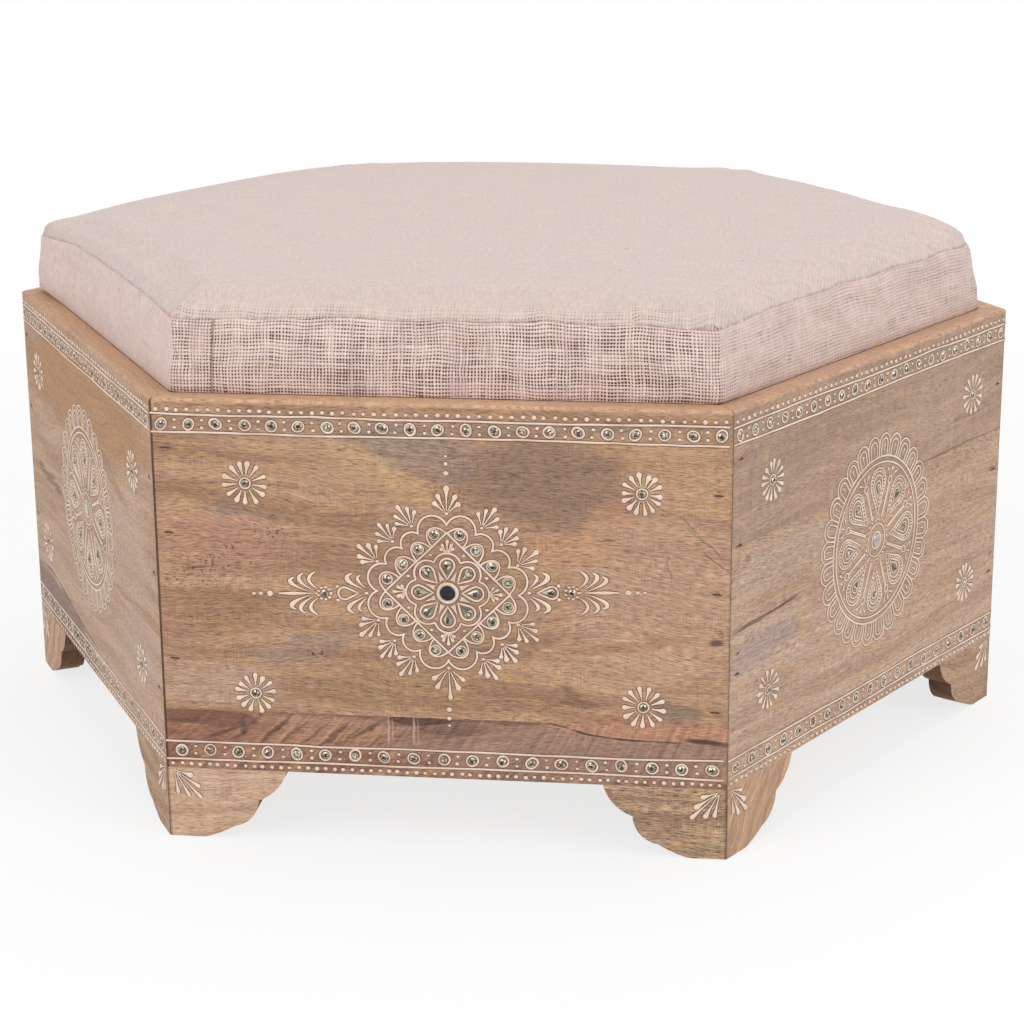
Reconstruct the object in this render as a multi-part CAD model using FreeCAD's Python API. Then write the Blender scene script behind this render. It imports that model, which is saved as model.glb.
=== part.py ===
"""Hexagonal bench in mango wood: a mitred case on scalloped bracket feet, with a lift-out upholstered seat.

Millimetres, +Z up. The origin is on the floor under the middle of the hexagon, the front side faces -Y and
two corners lie on the X axis. Each piece of a side is drawn on the front side and turned into its place.
"""
import FreeCAD, Part
import math
import os

from FreeCAD import Vector

# Case: six mitred sides, each of edge-glued boards
SIDE = 400.0
RIM_HEIGHT = 325.0
BOARD_THICK = 20.0
CORNER_ROUND = 2.0
RIM_ROUND = 3.0
MITRE_GAP = 0.4
GLUE_LINES = {
    "front": (98.0,),
    "right_front": (168.0, 228.0),
    "right_back": (140.0, 232.0),
    "back": (118.0, 214.0),
    "left_back": (176.0,),
    "left_front": (150.0,),
}

# Bracket feet: the lobes of their edge run from the outer end down to the flat that stands on the floor.
# A cusp is given by its distance from the corner and its height, a bulge by the rise of the lobe's arc.
FOOT_HEIGHT = 53.0
FOOT_WIDE = 87.0
FOOT_FLAT = 26.0
FOOT_CUSPS = ((66.0, 30.0), (48.0, 9.4))
FOOT_BULGES = (3.9, 4.9, 0.8)

# Corner posts, which end above the lower edge of the sides, and the cleats that carry the seat and the base
POST_LEG = 36.0
POST_DEPTH = 14.0
POST_LIFT = 1.0
SEAT_DROP = 33.8
SEAT_CLEAT = 25.0
BASE_CLEAT = 20.0
CLEAT_END_GAP = 0.5
BASE_THICK = 9.0
BASE_CLEAR = 1.0

# Fasteners of the case. A row of nails is given by its top nail below the rim, the drop to the middle nail
# and the bottom nail above the lower edge of the side.
NAIL_ROWS = {"left": (35.0, 61.0, 83.0), "right": (59.0, 70.0, 57.0)}
NAIL_FROM_CORNER = 9.5
NAIL_LENGTH = 45.0
NAIL_RADIUS = 1.0
NAIL_HEAD_RADIUS = 1.9
NAIL_HEAD_THICK = 1.0
NAIL_SET = 0.4
SCREW_PITCH = 110.0
SCREWS_PER_CLEAT = 3
SCREW_RADIUS = 1.75
SCREW_HEAD_RADIUS = 3.6
SCREW_HEAD_DEEP = 2.4
SCREW_BITE = 11.0
DRIVE_CLEAR = 0.1

# Lift-out seat: a board, a foam pad and a sewn cover turned under the board and stapled there
SEAT_CLEAR = 1.5
SEAT_GAP = 0.3
SEAT_BOARD_THICK = 12.0
COVER_THICK = 1.5
COVER_EASE = 0.3
CUSHION_RISE = 54.0
CUSHION_CORNER = 18.0
CUSHION_LEAN = 3.0
EDGE_ROUND = 9.0
EDGE_STEPS = 3
CROWN = 8.0
CROWN_RINGS = 4
CROWN_SPREAD = 0.85
BOW_LOW = 1.0
BOW_SEAM = 4.0
STAPLE_CROWN = 10.0
STAPLE_WIRE = 1.0
STAPLE_THICK = 0.6
STAPLE_LEG = 7.0
STAPLE_PITCH = 40.0
STAPLES_PER_SIDE = 7
STAPLE_FROM_CLEAT = 8.0
FLANGE_PAST_STAPLE = 8.0

# Set stones: bands along the rim and the lower edge, four flowers, and one medallion on each side
DIAMOND_SIDES = ("front", "right_back", "left_back")
BAND_MARGIN = 6.0
RIM_BAND_DROP = 17.6
RIM_BAND_PITCH = 19.2
FOOT_BAND_RISE = 14.0
FOOT_BAND_PITCH = 21.0
BAND_STONE = 5.8
ROW_STONE = 6.4
FLOWER_STONE = 5.6
FLOWER_FROM_EDGE = 59.0
FLOWER_FROM_CORNER = {"diamond": 63.0, "round": 51.5}
FLOWER_SHIFT = {"front": {"lower": 4.0, "upper": 2.0}, "left_front": {"lower": -5.0, "upper": -5.0}}
FLOWER_LIFT = {"left_front": {"lower_left": 8.5, "upper_right": -7.0}}
STONE_RISE = 1.7
MIRROR_RADIUS = 5.2
MIRROR_THICK = 1.1
MEDALLION_OFFSET = {"diamond": (5.0, 2.0), "round": (1.5, -4.5)}
MEDALLION_SHIFT = {"left_front": (-6.5, 5.5)}
PETALS = 8
PETAL_STONE_AT = {"diamond": 18.4, "round": 40.0}
PETAL_STONE = {"diamond": (10.4, 6.4), "round": (8.4, 5.2)}
DIAMOND_ROW = 36.2
DIAMOND_PITCH = 15.6
DIAMOND_PER_SIDE = 4
ARM_TEAR_AT = 70.2
ARM_TEAR = (11.0, 6.2)
ARM_STONE_AT = 86.5
ARM_TILT = 2.0
TEAR_TABLE = 0.55

# Places that follow from the sizes above
SIDE_TURNS = {"front": 0, "right_front": 60, "right_back": 120, "back": 180, "left_back": 240, "left_front": 300}
CORNER_RIGHT_OF = {
    "front": "front_right", "right_front": "right", "right_back": "back_right",
    "back": "back_left", "left_back": "left", "left_front": "front_left",
}
BOARD_NAMES = {2: ("lower", "upper"), 3: ("lower", "middle", "upper")}
SIN30 = math.sin(math.radians(30))
COS30 = math.cos(math.radians(30))
TAN30 = math.tan(math.radians(30))
HALF = SIDE / 2
APOTHEM = HALF / TAN30
INNER_APOTHEM = APOTHEM - BOARD_THICK
INNER_HALF = HALF - BOARD_THICK * TAN30
CLEAT_TOP = RIM_HEIGHT - SEAT_DROP
SEAT_UNDER = CLEAT_TOP + SEAT_GAP
SEAT_APOTHEM = INNER_APOTHEM - SEAT_CLEAR
SEAM_HEIGHT = RIM_HEIGHT + CUSHION_RISE
UP = Vector(0, 0, 1)


def at(along, depth, height):
    """Point of the front side: along it to the right, in from its outer face, and up from the floor."""
    return Vector(along, depth - APOTHEM, height)


def turned(shape, side):
    """Copy of a shape drawn on the front side, turned to another side."""
    return shape.rotated(Vector(0, 0, 0), UP, SIDE_TURNS[side])


def line(start, end):
    return Part.LineSegment(start, end).toShape()


def arc(start, middle, end):
    return Part.Arc(start, middle, end).toShape()


def prism(edges, direction):
    """Solid swept straight from a closed run of edges."""
    return Part.Face(Part.Wire(edges)).extrude(direction)


def polygon_edges(points):
    return [line(point, points[(k + 1) % len(points)]) for k, point in enumerate(points)]


def box(low, high):
    """Block between two opposite corners."""
    size = high.sub(low)
    return Part.makeBox(size.x, size.y, size.z, low)


def near(shapes, shape):
    """Those of the shapes whose boxes meet the box of one shape."""
    return [other for other in shapes if other.BoundBox.intersect(shape.BoundBox)]


def drilled(shape, holes):
    """The one solid that is left of a shape after its holes are cut."""
    holes = near(holes, shape)
    return (shape.cut(holes) if holes else shape).Solids[0]


# Sides of the case
def slab(low, high):
    """One side between two heights: mitred at both ends, with half of each rounded corner."""
    centre = HALF - CORNER_ROUND * TAN30
    sweep = math.radians(30) - math.asin(MITRE_GAP / 2 / CORNER_ROUND)
    inner = INNER_HALF - MITRE_GAP / 2 / COS30

    def corner(turn, end):
        along = centre + CORNER_ROUND * math.sin(turn)
        return at(end * along, CORNER_ROUND * (1 - math.cos(turn)), low)

    edges = [
        line(corner(0, -1), corner(0, 1)),
        arc(corner(0, 1), corner(sweep / 2, 1), corner(sweep, 1)),
        line(corner(sweep, 1), at(inner, BOARD_THICK, low)),
        line(at(inner, BOARD_THICK, low), at(-inner, BOARD_THICK, low)),
        line(at(-inner, BOARD_THICK, low), corner(sweep, -1)),
        arc(corner(sweep, -1), corner(sweep / 2, -1), corner(0, -1)),
    ]
    return prism(edges, UP * (high - low))


def rim_bar(low):
    """Bar from a height to the rim, with both top edges rounded, to shape an upper board."""
    eased = RIM_ROUND * (1 - math.cos(math.radians(45)))

    def point(depth, height):
        return at(-HALF, depth, height)

    edges = [
        line(point(0, low), point(0, RIM_HEIGHT - RIM_ROUND)),
        arc(point(0, RIM_HEIGHT - RIM_ROUND), point(eased, RIM_HEIGHT - eased), point(RIM_ROUND, RIM_HEIGHT)),
        line(point(RIM_ROUND, RIM_HEIGHT), point(BOARD_THICK - RIM_ROUND, RIM_HEIGHT)),
        arc(
            point(BOARD_THICK - RIM_ROUND, RIM_HEIGHT),
            point(BOARD_THICK - eased, RIM_HEIGHT - eased),
            point(BOARD_THICK, RIM_HEIGHT - RIM_ROUND),
        ),
        line(point(BOARD_THICK, RIM_HEIGHT - RIM_ROUND), point(BOARD_THICK, low)),
        line(point(BOARD_THICK, low), point(0, low)),
    ]
    return prism(edges, Vector(SIDE, 0, 0))


def side_boards(side):
    """Boards of one side from the feet to the rim, as (name, shape) pairs on the front side."""
    levels = (FOOT_HEIGHT,) + GLUE_LINES[side] + (RIM_HEIGHT,)
    names = BOARD_NAMES[len(levels) - 1]
    boards = []
    for name, low, high in zip(names, levels[:-1], levels[1:]):
        board = slab(low, high)
        if high == RIM_HEIGHT:
            board = board.common(rim_bar(low))
        boards.append((f"{side}_{name}_board", board))
    return boards


# Bracket feet
def lobe(start, end, bulge):
    """Arc of one lobe between two (distance from the corner, height) points, as three such points."""
    run = (end[0] - start[0], end[1] - start[1])
    length = math.hypot(*run)
    middle = (
        (start[0] + end[0]) / 2 - run[1] / length * bulge,
        (start[1] + end[1]) / 2 + run[0] / length * bulge,
    )
    return start, middle, end


def foot_bracket(end):
    """Half of a foot on the front side, at its right (+1) or left (-1) end."""
    stops = ((FOOT_WIDE, FOOT_HEIGHT),) + FOOT_CUSPS + ((FOOT_FLAT, 0.0),)

    def point(place):
        return at(end * (HALF - place[0]), 0, place[1])

    edges = []
    for start, stop, bulge in zip(stops[:-1], stops[1:], FOOT_BULGES):
        edges.append(arc(*(point(place) for place in lobe(start, stop, bulge))))
    ends = (stops[-1], (0.0, 0.0), (0.0, FOOT_HEIGHT), stops[0])
    edges += [line(point(a), point(b)) for a, b in zip(ends[:-1], ends[1:])]
    return prism(edges, Vector(0, BOARD_THICK, 0)).common(slab(0, FOOT_HEIGHT)).Solids[0]


# Inside the case
def corner_post():
    """Glue block of the corner at the right end of the front side, square to both sides there."""
    low = FOOT_HEIGHT + POST_LIFT
    apex = at(INNER_HALF, BOARD_THICK, low)
    legs = (Vector(-1, 0, 0), Vector(SIN30, COS30, 0))
    inward = (Vector(0, 1, 0), Vector(-COS30, SIN30, 0))
    feet = [apex + leg * POST_LEG for leg in legs]
    backs = [foot + normal * POST_DEPTH for foot, normal in zip(feet, inward)]
    points = [apex, feet[1], backs[1], backs[0], feet[0]]
    return prism(polygon_edges(points), UP * (CLEAT_TOP - low))


def cleat(size, low):
    """Square strip along the inside of the front side, between the corner posts."""
    reach = INNER_HALF - POST_LEG - CLEAT_END_GAP
    return box(at(-reach, BOARD_THICK, low), at(reach, BOARD_THICK + size, low + size))


def base_board():
    """Hexagonal floor of the case, with its corners cut off in front of the posts."""
    low = FOOT_HEIGHT + BASE_CLEAT
    post_reach = POST_LEG * SIN30 + POST_DEPTH * COS30
    across = INNER_APOTHEM - BASE_CLEAR
    to_posts = INNER_APOTHEM / COS30 - post_reach - BASE_CLEAR
    plain = prism(hexagon_edges(across, 0, 0, low), UP * BASE_THICK)
    cutter = prism(hexagon_edges(to_posts, 0, 0, low), UP * BASE_THICK)
    return plain.common(cutter.rotated(Vector(0, 0, 0), UP, 30)).Solids[0]


# Fasteners of the case
def nail(grow, start):
    """Wire nail through the front side at the origin of its height and length, from a depth inwards."""
    inward = Vector(0, 1, 0)
    seat = NAIL_SET + NAIL_HEAD_THICK
    head = Part.makeCylinder(NAIL_HEAD_RADIUS + grow, seat - start, at(0, start, 0), inward)
    shank = Part.makeCylinder(NAIL_RADIUS + grow, NAIL_LENGTH - seat, at(0, seat, 0), inward)
    return head.fuse(shank).removeSplitter().Solids[0]


def nail_places():
    """Places of the nails of one side, as (along, height)."""
    places = []
    for name, end in (("left", -1), ("right", 1)):
        top, drop, bottom = NAIL_ROWS[name]
        first = RIM_HEIGHT - top
        for height in (first, first - drop, FOOT_HEIGHT + bottom):
            places.append((end * (HALF - NAIL_FROM_CORNER), height))
    return places


def screw(size, grow):
    """Countersunk screw through a cleat of the front side into its board, at height nought."""
    outward = Vector(0, -1, 0)
    face = BOARD_THICK + size
    head = Part.makeCone(SCREW_HEAD_RADIUS + grow, SCREW_RADIUS + grow, SCREW_HEAD_DEEP, at(0, face, 0), outward)
    shank = Part.makeCylinder(SCREW_RADIUS + grow, size + SCREW_BITE + grow, at(0, face, 0), outward)
    return head.fuse(shank).removeSplitter().Solids[0]


def screw_places():
    """Screws of one side, as (cleat size, along, height)."""
    rows = ((SEAT_CLEAT, CLEAT_TOP - SEAT_CLEAT / 2), (BASE_CLEAT, FOOT_HEIGHT + BASE_CLEAT / 2))
    middle = (SCREWS_PER_CLEAT - 1) / 2
    return [(size, (k - middle) * SCREW_PITCH, height) for size, height in rows for k in range(SCREWS_PER_CLEAT)]


# Seat
def hexagon_edges(apothem, corner, bow, height):
    """Hexagon with corners on the X axis: each corner rounded, each side drawn in at its middle by bow."""
    reach = apothem / COS30

    def spoke(turn, length):
        angle = math.radians(turn)
        return Vector(length * math.cos(angle), length * math.sin(angle), height)

    starts = []
    ends = []
    edges = []
    for k in range(6):
        tip = spoke(60 * k, reach)
        along = corner * TAN30
        starts.append(tip + spoke(60 * k - 120, along) - Vector(0, 0, height))
        ends.append(tip + spoke(60 * k + 120, along) - Vector(0, 0, height))
    for k in range(6):
        if corner:
            crest = spoke(60 * k, reach - corner * (1 / COS30 - 1))
            edges.append(arc(starts[k], crest, ends[k]))
        after = starts[(k + 1) % 6]
        if bow:
            edges.append(arc(ends[k], spoke(60 * k + 30, apothem - bow), after))
        else:
            edges.append(line(ends[k], after))
    return edges


def pad_rings(skin, low):
    """Rings of the padded seat from its underside to its crown, as (inset, bow, height), a skin inside it."""
    seam = SEAM_HEIGHT - skin
    rings = [(0.0, BOW_LOW, low), (0.0, BOW_LOW, RIM_HEIGHT)]
    for step in range(EDGE_STEPS + 1):
        turn = math.radians(90 * step / EDGE_STEPS)
        inset = CUSHION_LEAN + EDGE_ROUND * (1 - math.cos(turn))
        rings.append((inset, BOW_SEAM, seam - EDGE_ROUND * (1 - math.sin(turn))))
    edge = CUSHION_LEAN + EDGE_ROUND
    for ring in range(1, CROWN_RINGS + 1):
        share = CROWN_SPREAD * ring / CROWN_RINGS
        height = seam + CROWN * (1 - (1 - share) ** 2)
        rings.append((edge + share * (SEAT_APOTHEM - edge), BOW_SEAM * (1 - share), height))
    return rings


def pad(skin, low):
    """Crowned cushion form with drawn-in sides, one skin inside the finished seat."""
    wires = []
    for inset, bow, height in pad_rings(skin, low):
        edges = hexagon_edges(SEAT_APOTHEM - inset - skin, CUSHION_CORNER - skin, bow, height)
        wires.append(Part.Wire(edges))
    return Part.makeLoft(wires, True, True).Solids[0]


def staple_depth():
    return BOARD_THICK + SEAT_CLEAT + STAPLE_FROM_CLEAT


def seat_pieces():
    """Board, foam, cover and staples of the seat, by name."""
    skin = COVER_THICK + COVER_EASE
    board_low = SEAT_UNDER + COVER_THICK
    board_top = board_low + SEAT_BOARD_THICK
    board_edges = hexagon_edges(SEAT_APOTHEM - skin, CUSHION_CORNER - skin, BOW_LOW, board_low)
    opening = APOTHEM - staple_depth() - STAPLE_WIRE - FLANGE_PAST_STAPLE
    mouth = prism(hexagon_edges(opening, 0, 0, SEAT_UNDER), UP * COVER_THICK)
    cover = pad(0, SEAT_UNDER).cut(pad(COVER_THICK, board_low)).cut(mouth)
    return {
        "seat_board": prism(board_edges, UP * SEAT_BOARD_THICK),
        "foam_pad": pad(skin, board_top),
        "cushion_cover": cover.Solids[0],
        "cover_staples": Part.makeCompound([turned(s, side) for side in SIDE_TURNS for s in side_staples()]),
    }


def side_staples():
    """Staples of the front side, driven up through the turned-under cover into the seat board."""
    near_face = staple_depth()
    staples = []
    for k in range(STAPLES_PER_SIDE):
        left = (k - (STAPLES_PER_SIDE - 1) / 2) * STAPLE_PITCH - STAPLE_CROWN / 2
        right = left + STAPLE_CROWN
        far_face = near_face + STAPLE_WIRE
        crown = box(at(left, near_face, SEAT_UNDER - STAPLE_THICK), at(right, far_face, SEAT_UNDER))
        legs = [
            box(at(foot, near_face, SEAT_UNDER), at(foot + STAPLE_THICK, far_face, SEAT_UNDER + STAPLE_LEG))
            for foot in (left, right - STAPLE_THICK)
        ]
        staples.append(crown.fuse(legs).removeSplitter().Solids[0])
    return staples


# Set stones
def dome(width, along, height):
    """Round stone with a flat back on the front side."""
    radius = (width ** 2 / 4 + STONE_RISE ** 2) / (2 * STONE_RISE)
    sunk = radius - STONE_RISE
    edge = math.degrees(math.asin(sunk / radius))
    return Part.makeSphere(radius, at(along, sunk, height), Vector(0, -1, 0), edge, 90).Solids[0]


def tear_edges(length, width, rise):
    """Outline of a teardrop whose round end is centred on the origin and whose point lies towards -X."""
    radius = width / 2
    tip = -(length - radius)
    turn = math.acos(radius / -tip)
    touch = [Vector(-radius * math.cos(turn), end * radius * math.sin(turn), rise) for end in (-1, 1)]
    sides = [Vector(0, end * radius, rise) for end in (-1, 1)]
    head = Vector(radius, 0, rise)
    slant = radius * math.sin(math.radians(45))
    shoulders = [Vector(slant, end * slant, rise) for end in (-1, 1)]
    quarter = (math.pi / 2 + turn) / 2
    flanks = [Vector(-radius * math.cos(quarter), end * radius * math.sin(quarter), rise) for end in (-1, 1)]
    point = Vector(tip, 0, rise)
    return [
        line(point, touch[0]),
        arc(touch[0], flanks[0], sides[0]),
        arc(sides[0], shoulders[0], head),
        arc(head, shoulders[1], sides[1]),
        arc(sides[1], flanks[1], touch[1]),
        line(touch[1], point),
    ]


def tear(size, along, height, direction):
    """Teardrop stone centred at a place of the front side, its point away from a direction in degrees."""
    length, width = size
    outlines = [tear_edges(length, width, 0.0), tear_edges(length * TEAR_TABLE, width * TEAR_TABLE, STONE_RISE)]
    stone = Part.makeLoft([Part.Wire(edges) for edges in outlines], True, True).Solids[0]
    stone = stone.translated(Vector((length - width) / 2, 0, 0)).rotated(Vector(0, 0, 0), UP, direction)
    return stone.rotated(Vector(0, 0, 0), Vector(1, 0, 0), 90).translated(at(along, 0, height))


def band_places(pitch):
    """Places along one side of a row of stones, centred on it."""
    gaps = int((SIDE - 2 * BAND_MARGIN) / pitch)
    return [(k - gaps / 2) * pitch for k in range(gaps + 1)]


def medallion_centre(side, kind):
    along, lift = MEDALLION_OFFSET[kind]
    shift = MEDALLION_SHIFT.get(side, (0.0, 0.0))
    return along + shift[0], (FOOT_HEIGHT + RIM_HEIGHT) / 2 + lift + shift[1]


def around(centre, radius, turn):
    """Place at a radius and a turn in degrees from a centre on the front side."""
    angle = math.radians(turn)
    return centre[0] + radius * math.cos(angle), centre[1] + radius * math.sin(angle)


def edge_stones(side, kind):
    """Round stones of both bands and of the four flowers of one side."""
    stones = [dome(BAND_STONE, along, RIM_HEIGHT - RIM_BAND_DROP) for along in band_places(RIM_BAND_PITCH)]
    stones += [dome(BAND_STONE, along, FOOT_HEIGHT + FOOT_BAND_RISE) for along in band_places(FOOT_BAND_PITCH)]
    flower = HALF - FLOWER_FROM_CORNER[kind]
    levels = {"lower": FOOT_HEIGHT + FLOWER_FROM_EDGE, "upper": RIM_HEIGHT - FLOWER_FROM_EDGE}
    for hand, along in (("left", -flower), ("right", flower)):
        for row, height in levels.items():
            shift = FLOWER_SHIFT.get(side, {}).get(row, 0.0)
            lift = FLOWER_LIFT.get(side, {}).get(f"{row}_{hand}", 0.0)
            stones.append(dome(FLOWER_STONE, along + shift, height + lift))
    return stones


def diamond_stones(centre):
    """Round stones of a diamond medallion: rows outside its four edges, and one on each arm."""
    stones = []
    for quarter in range(4):
        for k in range(DIAMOND_PER_SIDE):
            slide = (k - (DIAMOND_PER_SIDE - 1) / 2) * DIAMOND_PITCH
            turn = 45 + 90 * quarter + math.degrees(math.atan2(slide, DIAMOND_ROW))
            stones.append(dome(ROW_STONE, *around(centre, math.hypot(slide, DIAMOND_ROW), turn)))
    for turn in (ARM_TILT, 180 + ARM_TILT):
        stones.append(dome(BAND_STONE, *around(centre, ARM_STONE_AT, turn)))
    return stones


def petal_stones(kind, centre):
    """Teardrop stones round the middle of a medallion, points inwards."""
    turns = [360 / PETALS * k for k in range(PETALS)]
    return [tear(PETAL_STONE[kind], *around(centre, PETAL_STONE_AT[kind], turn), turn) for turn in turns]


def set_stones():
    """Round stones, teardrop stones and middle mirrors of all six sides, by name."""
    groups = {"round_stones": [], "teardrop_stones": [], "centre_mirrors": []}
    for side in SIDE_TURNS:
        kind = "diamond" if side in DIAMOND_SIDES else "round"
        centre = medallion_centre(side, kind)
        rounds = edge_stones(side, kind)
        tears = petal_stones(kind, centre)
        if kind == "diamond":
            rounds += diamond_stones(centre)
            tears.append(tear(ARM_TEAR, *around(centre, ARM_TEAR_AT, ARM_TILT), ARM_TILT))
        mirror = Part.makeCylinder(MIRROR_RADIUS, MIRROR_THICK, at(centre[0], 0, centre[1]), Vector(0, -1, 0))
        groups["round_stones"] += [turned(stone, side) for stone in rounds]
        groups["teardrop_stones"] += [turned(stone, side) for stone in tears]
        groups["centre_mirrors"].append(turned(mirror, side))
    return {name: Part.makeCompound(stones) for name, stones in groups.items()}


# Assembly
def case_pieces():
    """Every wooden piece of the case and its fasteners, by name."""
    nails = []
    nail_holes = []
    screws = []
    screw_holes = []
    for side in SIDE_TURNS:
        for along, height in nail_places():
            place = Vector(along, 0, height)
            nails.append(turned(nail(0, NAIL_SET).translated(place), side))
            nail_holes.append(turned(nail(DRIVE_CLEAR, 0).translated(place), side))
        for size, along, height in screw_places():
            place = Vector(along, 0, height)
            screws.append(turned(screw(size, 0).translated(place), side))
            screw_holes.append(turned(screw(size, DRIVE_CLEAR).translated(place), side))
    pieces = {}
    for side in SIDE_TURNS:
        for name, board in side_boards(side):
            pieces[name] = drilled(turned(board, side), nail_holes + screw_holes)
        pieces[f"{side}_foot_bracket_left"] = turned(foot_bracket(-1), side)
        pieces[f"{side}_foot_bracket_right"] = turned(foot_bracket(1), side)
        pieces[f"{CORNER_RIGHT_OF[side]}_corner_post"] = drilled(turned(corner_post(), side), nail_holes)
        seat_cleat = turned(cleat(SEAT_CLEAT, CLEAT_TOP - SEAT_CLEAT), side)
        pieces[f"{side}_seat_cleat"] = drilled(seat_cleat, screw_holes)
        base_cleat = turned(cleat(BASE_CLEAT, FOOT_HEIGHT), side)
        pieces[f"{side}_base_cleat"] = drilled(base_cleat, screw_holes)
    pieces["base_board"] = base_board()
    pieces["panel_nails"] = Part.makeCompound(nails)
    pieces["cleat_screws"] = Part.makeCompound(screws)
    return pieces


os.makedirs("parts", exist_ok=True)
all_pieces = {**case_pieces(), **seat_pieces(), **set_stones()}
for piece_name, piece in all_pieces.items():
    piece.exportStep(f"parts/{piece_name}.step")
    print(piece_name, len(piece.Solids), "valid" if piece.isValid() else "not valid", round(piece.Volume, 1))
print(len(all_pieces), "nodes")
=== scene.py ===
"""Looks of the hexagonal storage bench: mango boards, piped paint, set stones and a handloom seat cushion.

Sizes are in millimetres, drawn on the front side as (along, height) and turned to the other sides.
Meshes are in metres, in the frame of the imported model.
"""

import math

import bpy
import numpy as np
from mathutils import Matrix, Vector


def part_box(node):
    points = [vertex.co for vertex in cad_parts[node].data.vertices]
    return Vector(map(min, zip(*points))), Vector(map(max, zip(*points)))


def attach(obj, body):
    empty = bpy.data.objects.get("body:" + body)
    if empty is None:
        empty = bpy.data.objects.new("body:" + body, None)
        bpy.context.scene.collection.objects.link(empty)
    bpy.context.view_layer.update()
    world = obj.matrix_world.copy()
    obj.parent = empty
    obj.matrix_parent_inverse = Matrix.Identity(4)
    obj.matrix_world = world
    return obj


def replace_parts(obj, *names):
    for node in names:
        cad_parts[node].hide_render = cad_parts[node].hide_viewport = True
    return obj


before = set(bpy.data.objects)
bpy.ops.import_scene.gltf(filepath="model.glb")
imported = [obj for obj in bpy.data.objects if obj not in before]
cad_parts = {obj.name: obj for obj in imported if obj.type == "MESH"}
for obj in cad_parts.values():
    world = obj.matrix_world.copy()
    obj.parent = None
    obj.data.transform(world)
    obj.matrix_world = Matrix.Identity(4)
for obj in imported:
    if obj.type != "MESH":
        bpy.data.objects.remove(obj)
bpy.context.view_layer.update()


# Case sides
# Fifteen mango boards, edge-glued in twos and threes, mitred at the six corners, sanded and waxed.
# The grain runs along each board, with grey and yellow heartwood, spalt marks and a few old cracks.
MM = 0.001
SIDES = ("front", "right_front", "right_back", "back", "left_back", "left_front")
APOTHEM = -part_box("front_lower_board")[0].y / MM
HALF_SIDE = APOTHEM * math.tan(math.radians(30))
RIM_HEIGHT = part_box("front_upper_board")[1].z / MM
OLD_CRACK = (66, 46, 36)
SPALT = (62, 42, 34)
WAXED_RIM = (204, 163, 131)
# Colour of unwaxed sawn edges, and of painted shade on the inner faces of the brackets.
SAWN_EDGE_AND_SHADE = (104, 66, 38)
PALE_WISP = (204, 176, 158)
WARM_CAST = (188, 150, 104)
PINK_CAST = (184, 138, 116)
NAIL_SLOTS = ((-190.5, 290), (-190.5, 229), (-190.5, 136), (190.5, 266), (190.5, 196), (190.5, 110))
SLOT_HALF = (4.0, 0.8)
SLOT_TURN = -3
EDGE_FOLD = 0.9
RIM_WEAR = (3.5, 1.0)
MITRE_WEAR = (2.0, 1.0)


class Wire:
    """Output of a shader node. Arithmetic on it adds Math nodes, and add() adds any other node."""

    def __init__(self, socket):
        self.socket = socket
        self.tree = socket.id_data

    def add(self, kind, settings, inputs, output=0):
        """New node in the same tree: its settings first, then the values or links of its sockets."""
        node = self.tree.nodes.new("ShaderNode" + kind)
        for name, value in settings.items():
            setattr(node, name, value)
        for name, value in inputs.items():
            if isinstance(value, Wire):
                self.tree.links.new(value.socket, node.inputs[name])
            else:
                node.inputs[name].default_value = value
        return Wire(node.outputs[output]) if len(node.outputs) else None

    def maths(self, operation, *values):
        return self.add("Math", {"operation": operation}, dict(enumerate(values)))

    def __add__(self, other):
        return self.maths("ADD", self, other)

    def __sub__(self, other):
        return self.maths("SUBTRACT", self, other)

    def __rsub__(self, other):
        return self.maths("SUBTRACT", other, self)

    def __mul__(self, other):
        return self.maths("MULTIPLY", self, other)

    def __truediv__(self, other):
        return self.maths("DIVIDE", self, other)

    def __abs__(self):
        return self.maths("ABSOLUTE", self)

    __radd__ = __add__
    __rmul__ = __mul__

    def step(self, low, high):
        """0 below low, 1 above high, and smooth between them. It falls where low is the larger."""
        span = {"Value": self, "From Min": low, "From Max": high}
        return self.add("MapRange", {"interpolation_type": "SMOOTHSTEP"}, span)

    def noise(self, across, seed, detail=2.0):
        """Smooth noise from 0 to 1 over this number and another one, with lumps about one unit wide."""
        place = self.add("CombineXYZ", {}, {"X": self, "Y": across, "Z": seed})
        return self.add("TexNoise", {}, {"Vector": place, "Scale": 1.0, "Detail": detail})

    def chance(self):
        """A number from 0 to 1 at random for each value of this one."""
        return self.add("TexWhiteNoise", {"noise_dimensions": "1D"}, {"W": self}, "Value")

    def blend(self, under, over):
        """Colour between two, by this number."""
        return self.add("Mix", {"data_type": "RGBA"}, {0: self, 6: under, 7: over}, 2)

    def shading(self, colour):
        """Colour darkened or lightened by this number."""
        settings = {"data_type": "RGBA", "blend_type": "MULTIPLY"}
        return self.add("Mix", settings, {0: 1.0, 6: colour, 7: self}, 2)

    def parts(self):
        """X, Y and Z of a vector."""
        return [Wire(socket) for socket in self.add("SeparateXYZ", {}, {0: self}).socket.node.outputs]

    def millimetres(self, turn=0.0):
        """X, Y and Z of a place in metres, turned back so that a side at this turn lies at the front."""
        turned = {"Vector": self, "Rotation": (0, 0, -math.radians(turn)), "Scale": (1 / MM,) * 3}
        return self.add("Mapping", {}, turned).parts()


def tone(red, green, blue):
    """Colour as a shader takes it, from the 0 to 255 that a screen shows."""
    return tuple(((c / 255 + 0.055) / 1.055) ** 2.4 for c in (red, green, blue)) + (1.0,)


def new_finish(name):
    """A new material, and the place on its piece in metres."""
    material = bpy.data.materials.new(name)
    material.use_nodes = True
    material.node_tree.nodes.clear()
    place = material.node_tree.nodes.new("ShaderNodeTexCoord")
    return material, Wire(place.outputs["Object"])


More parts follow.
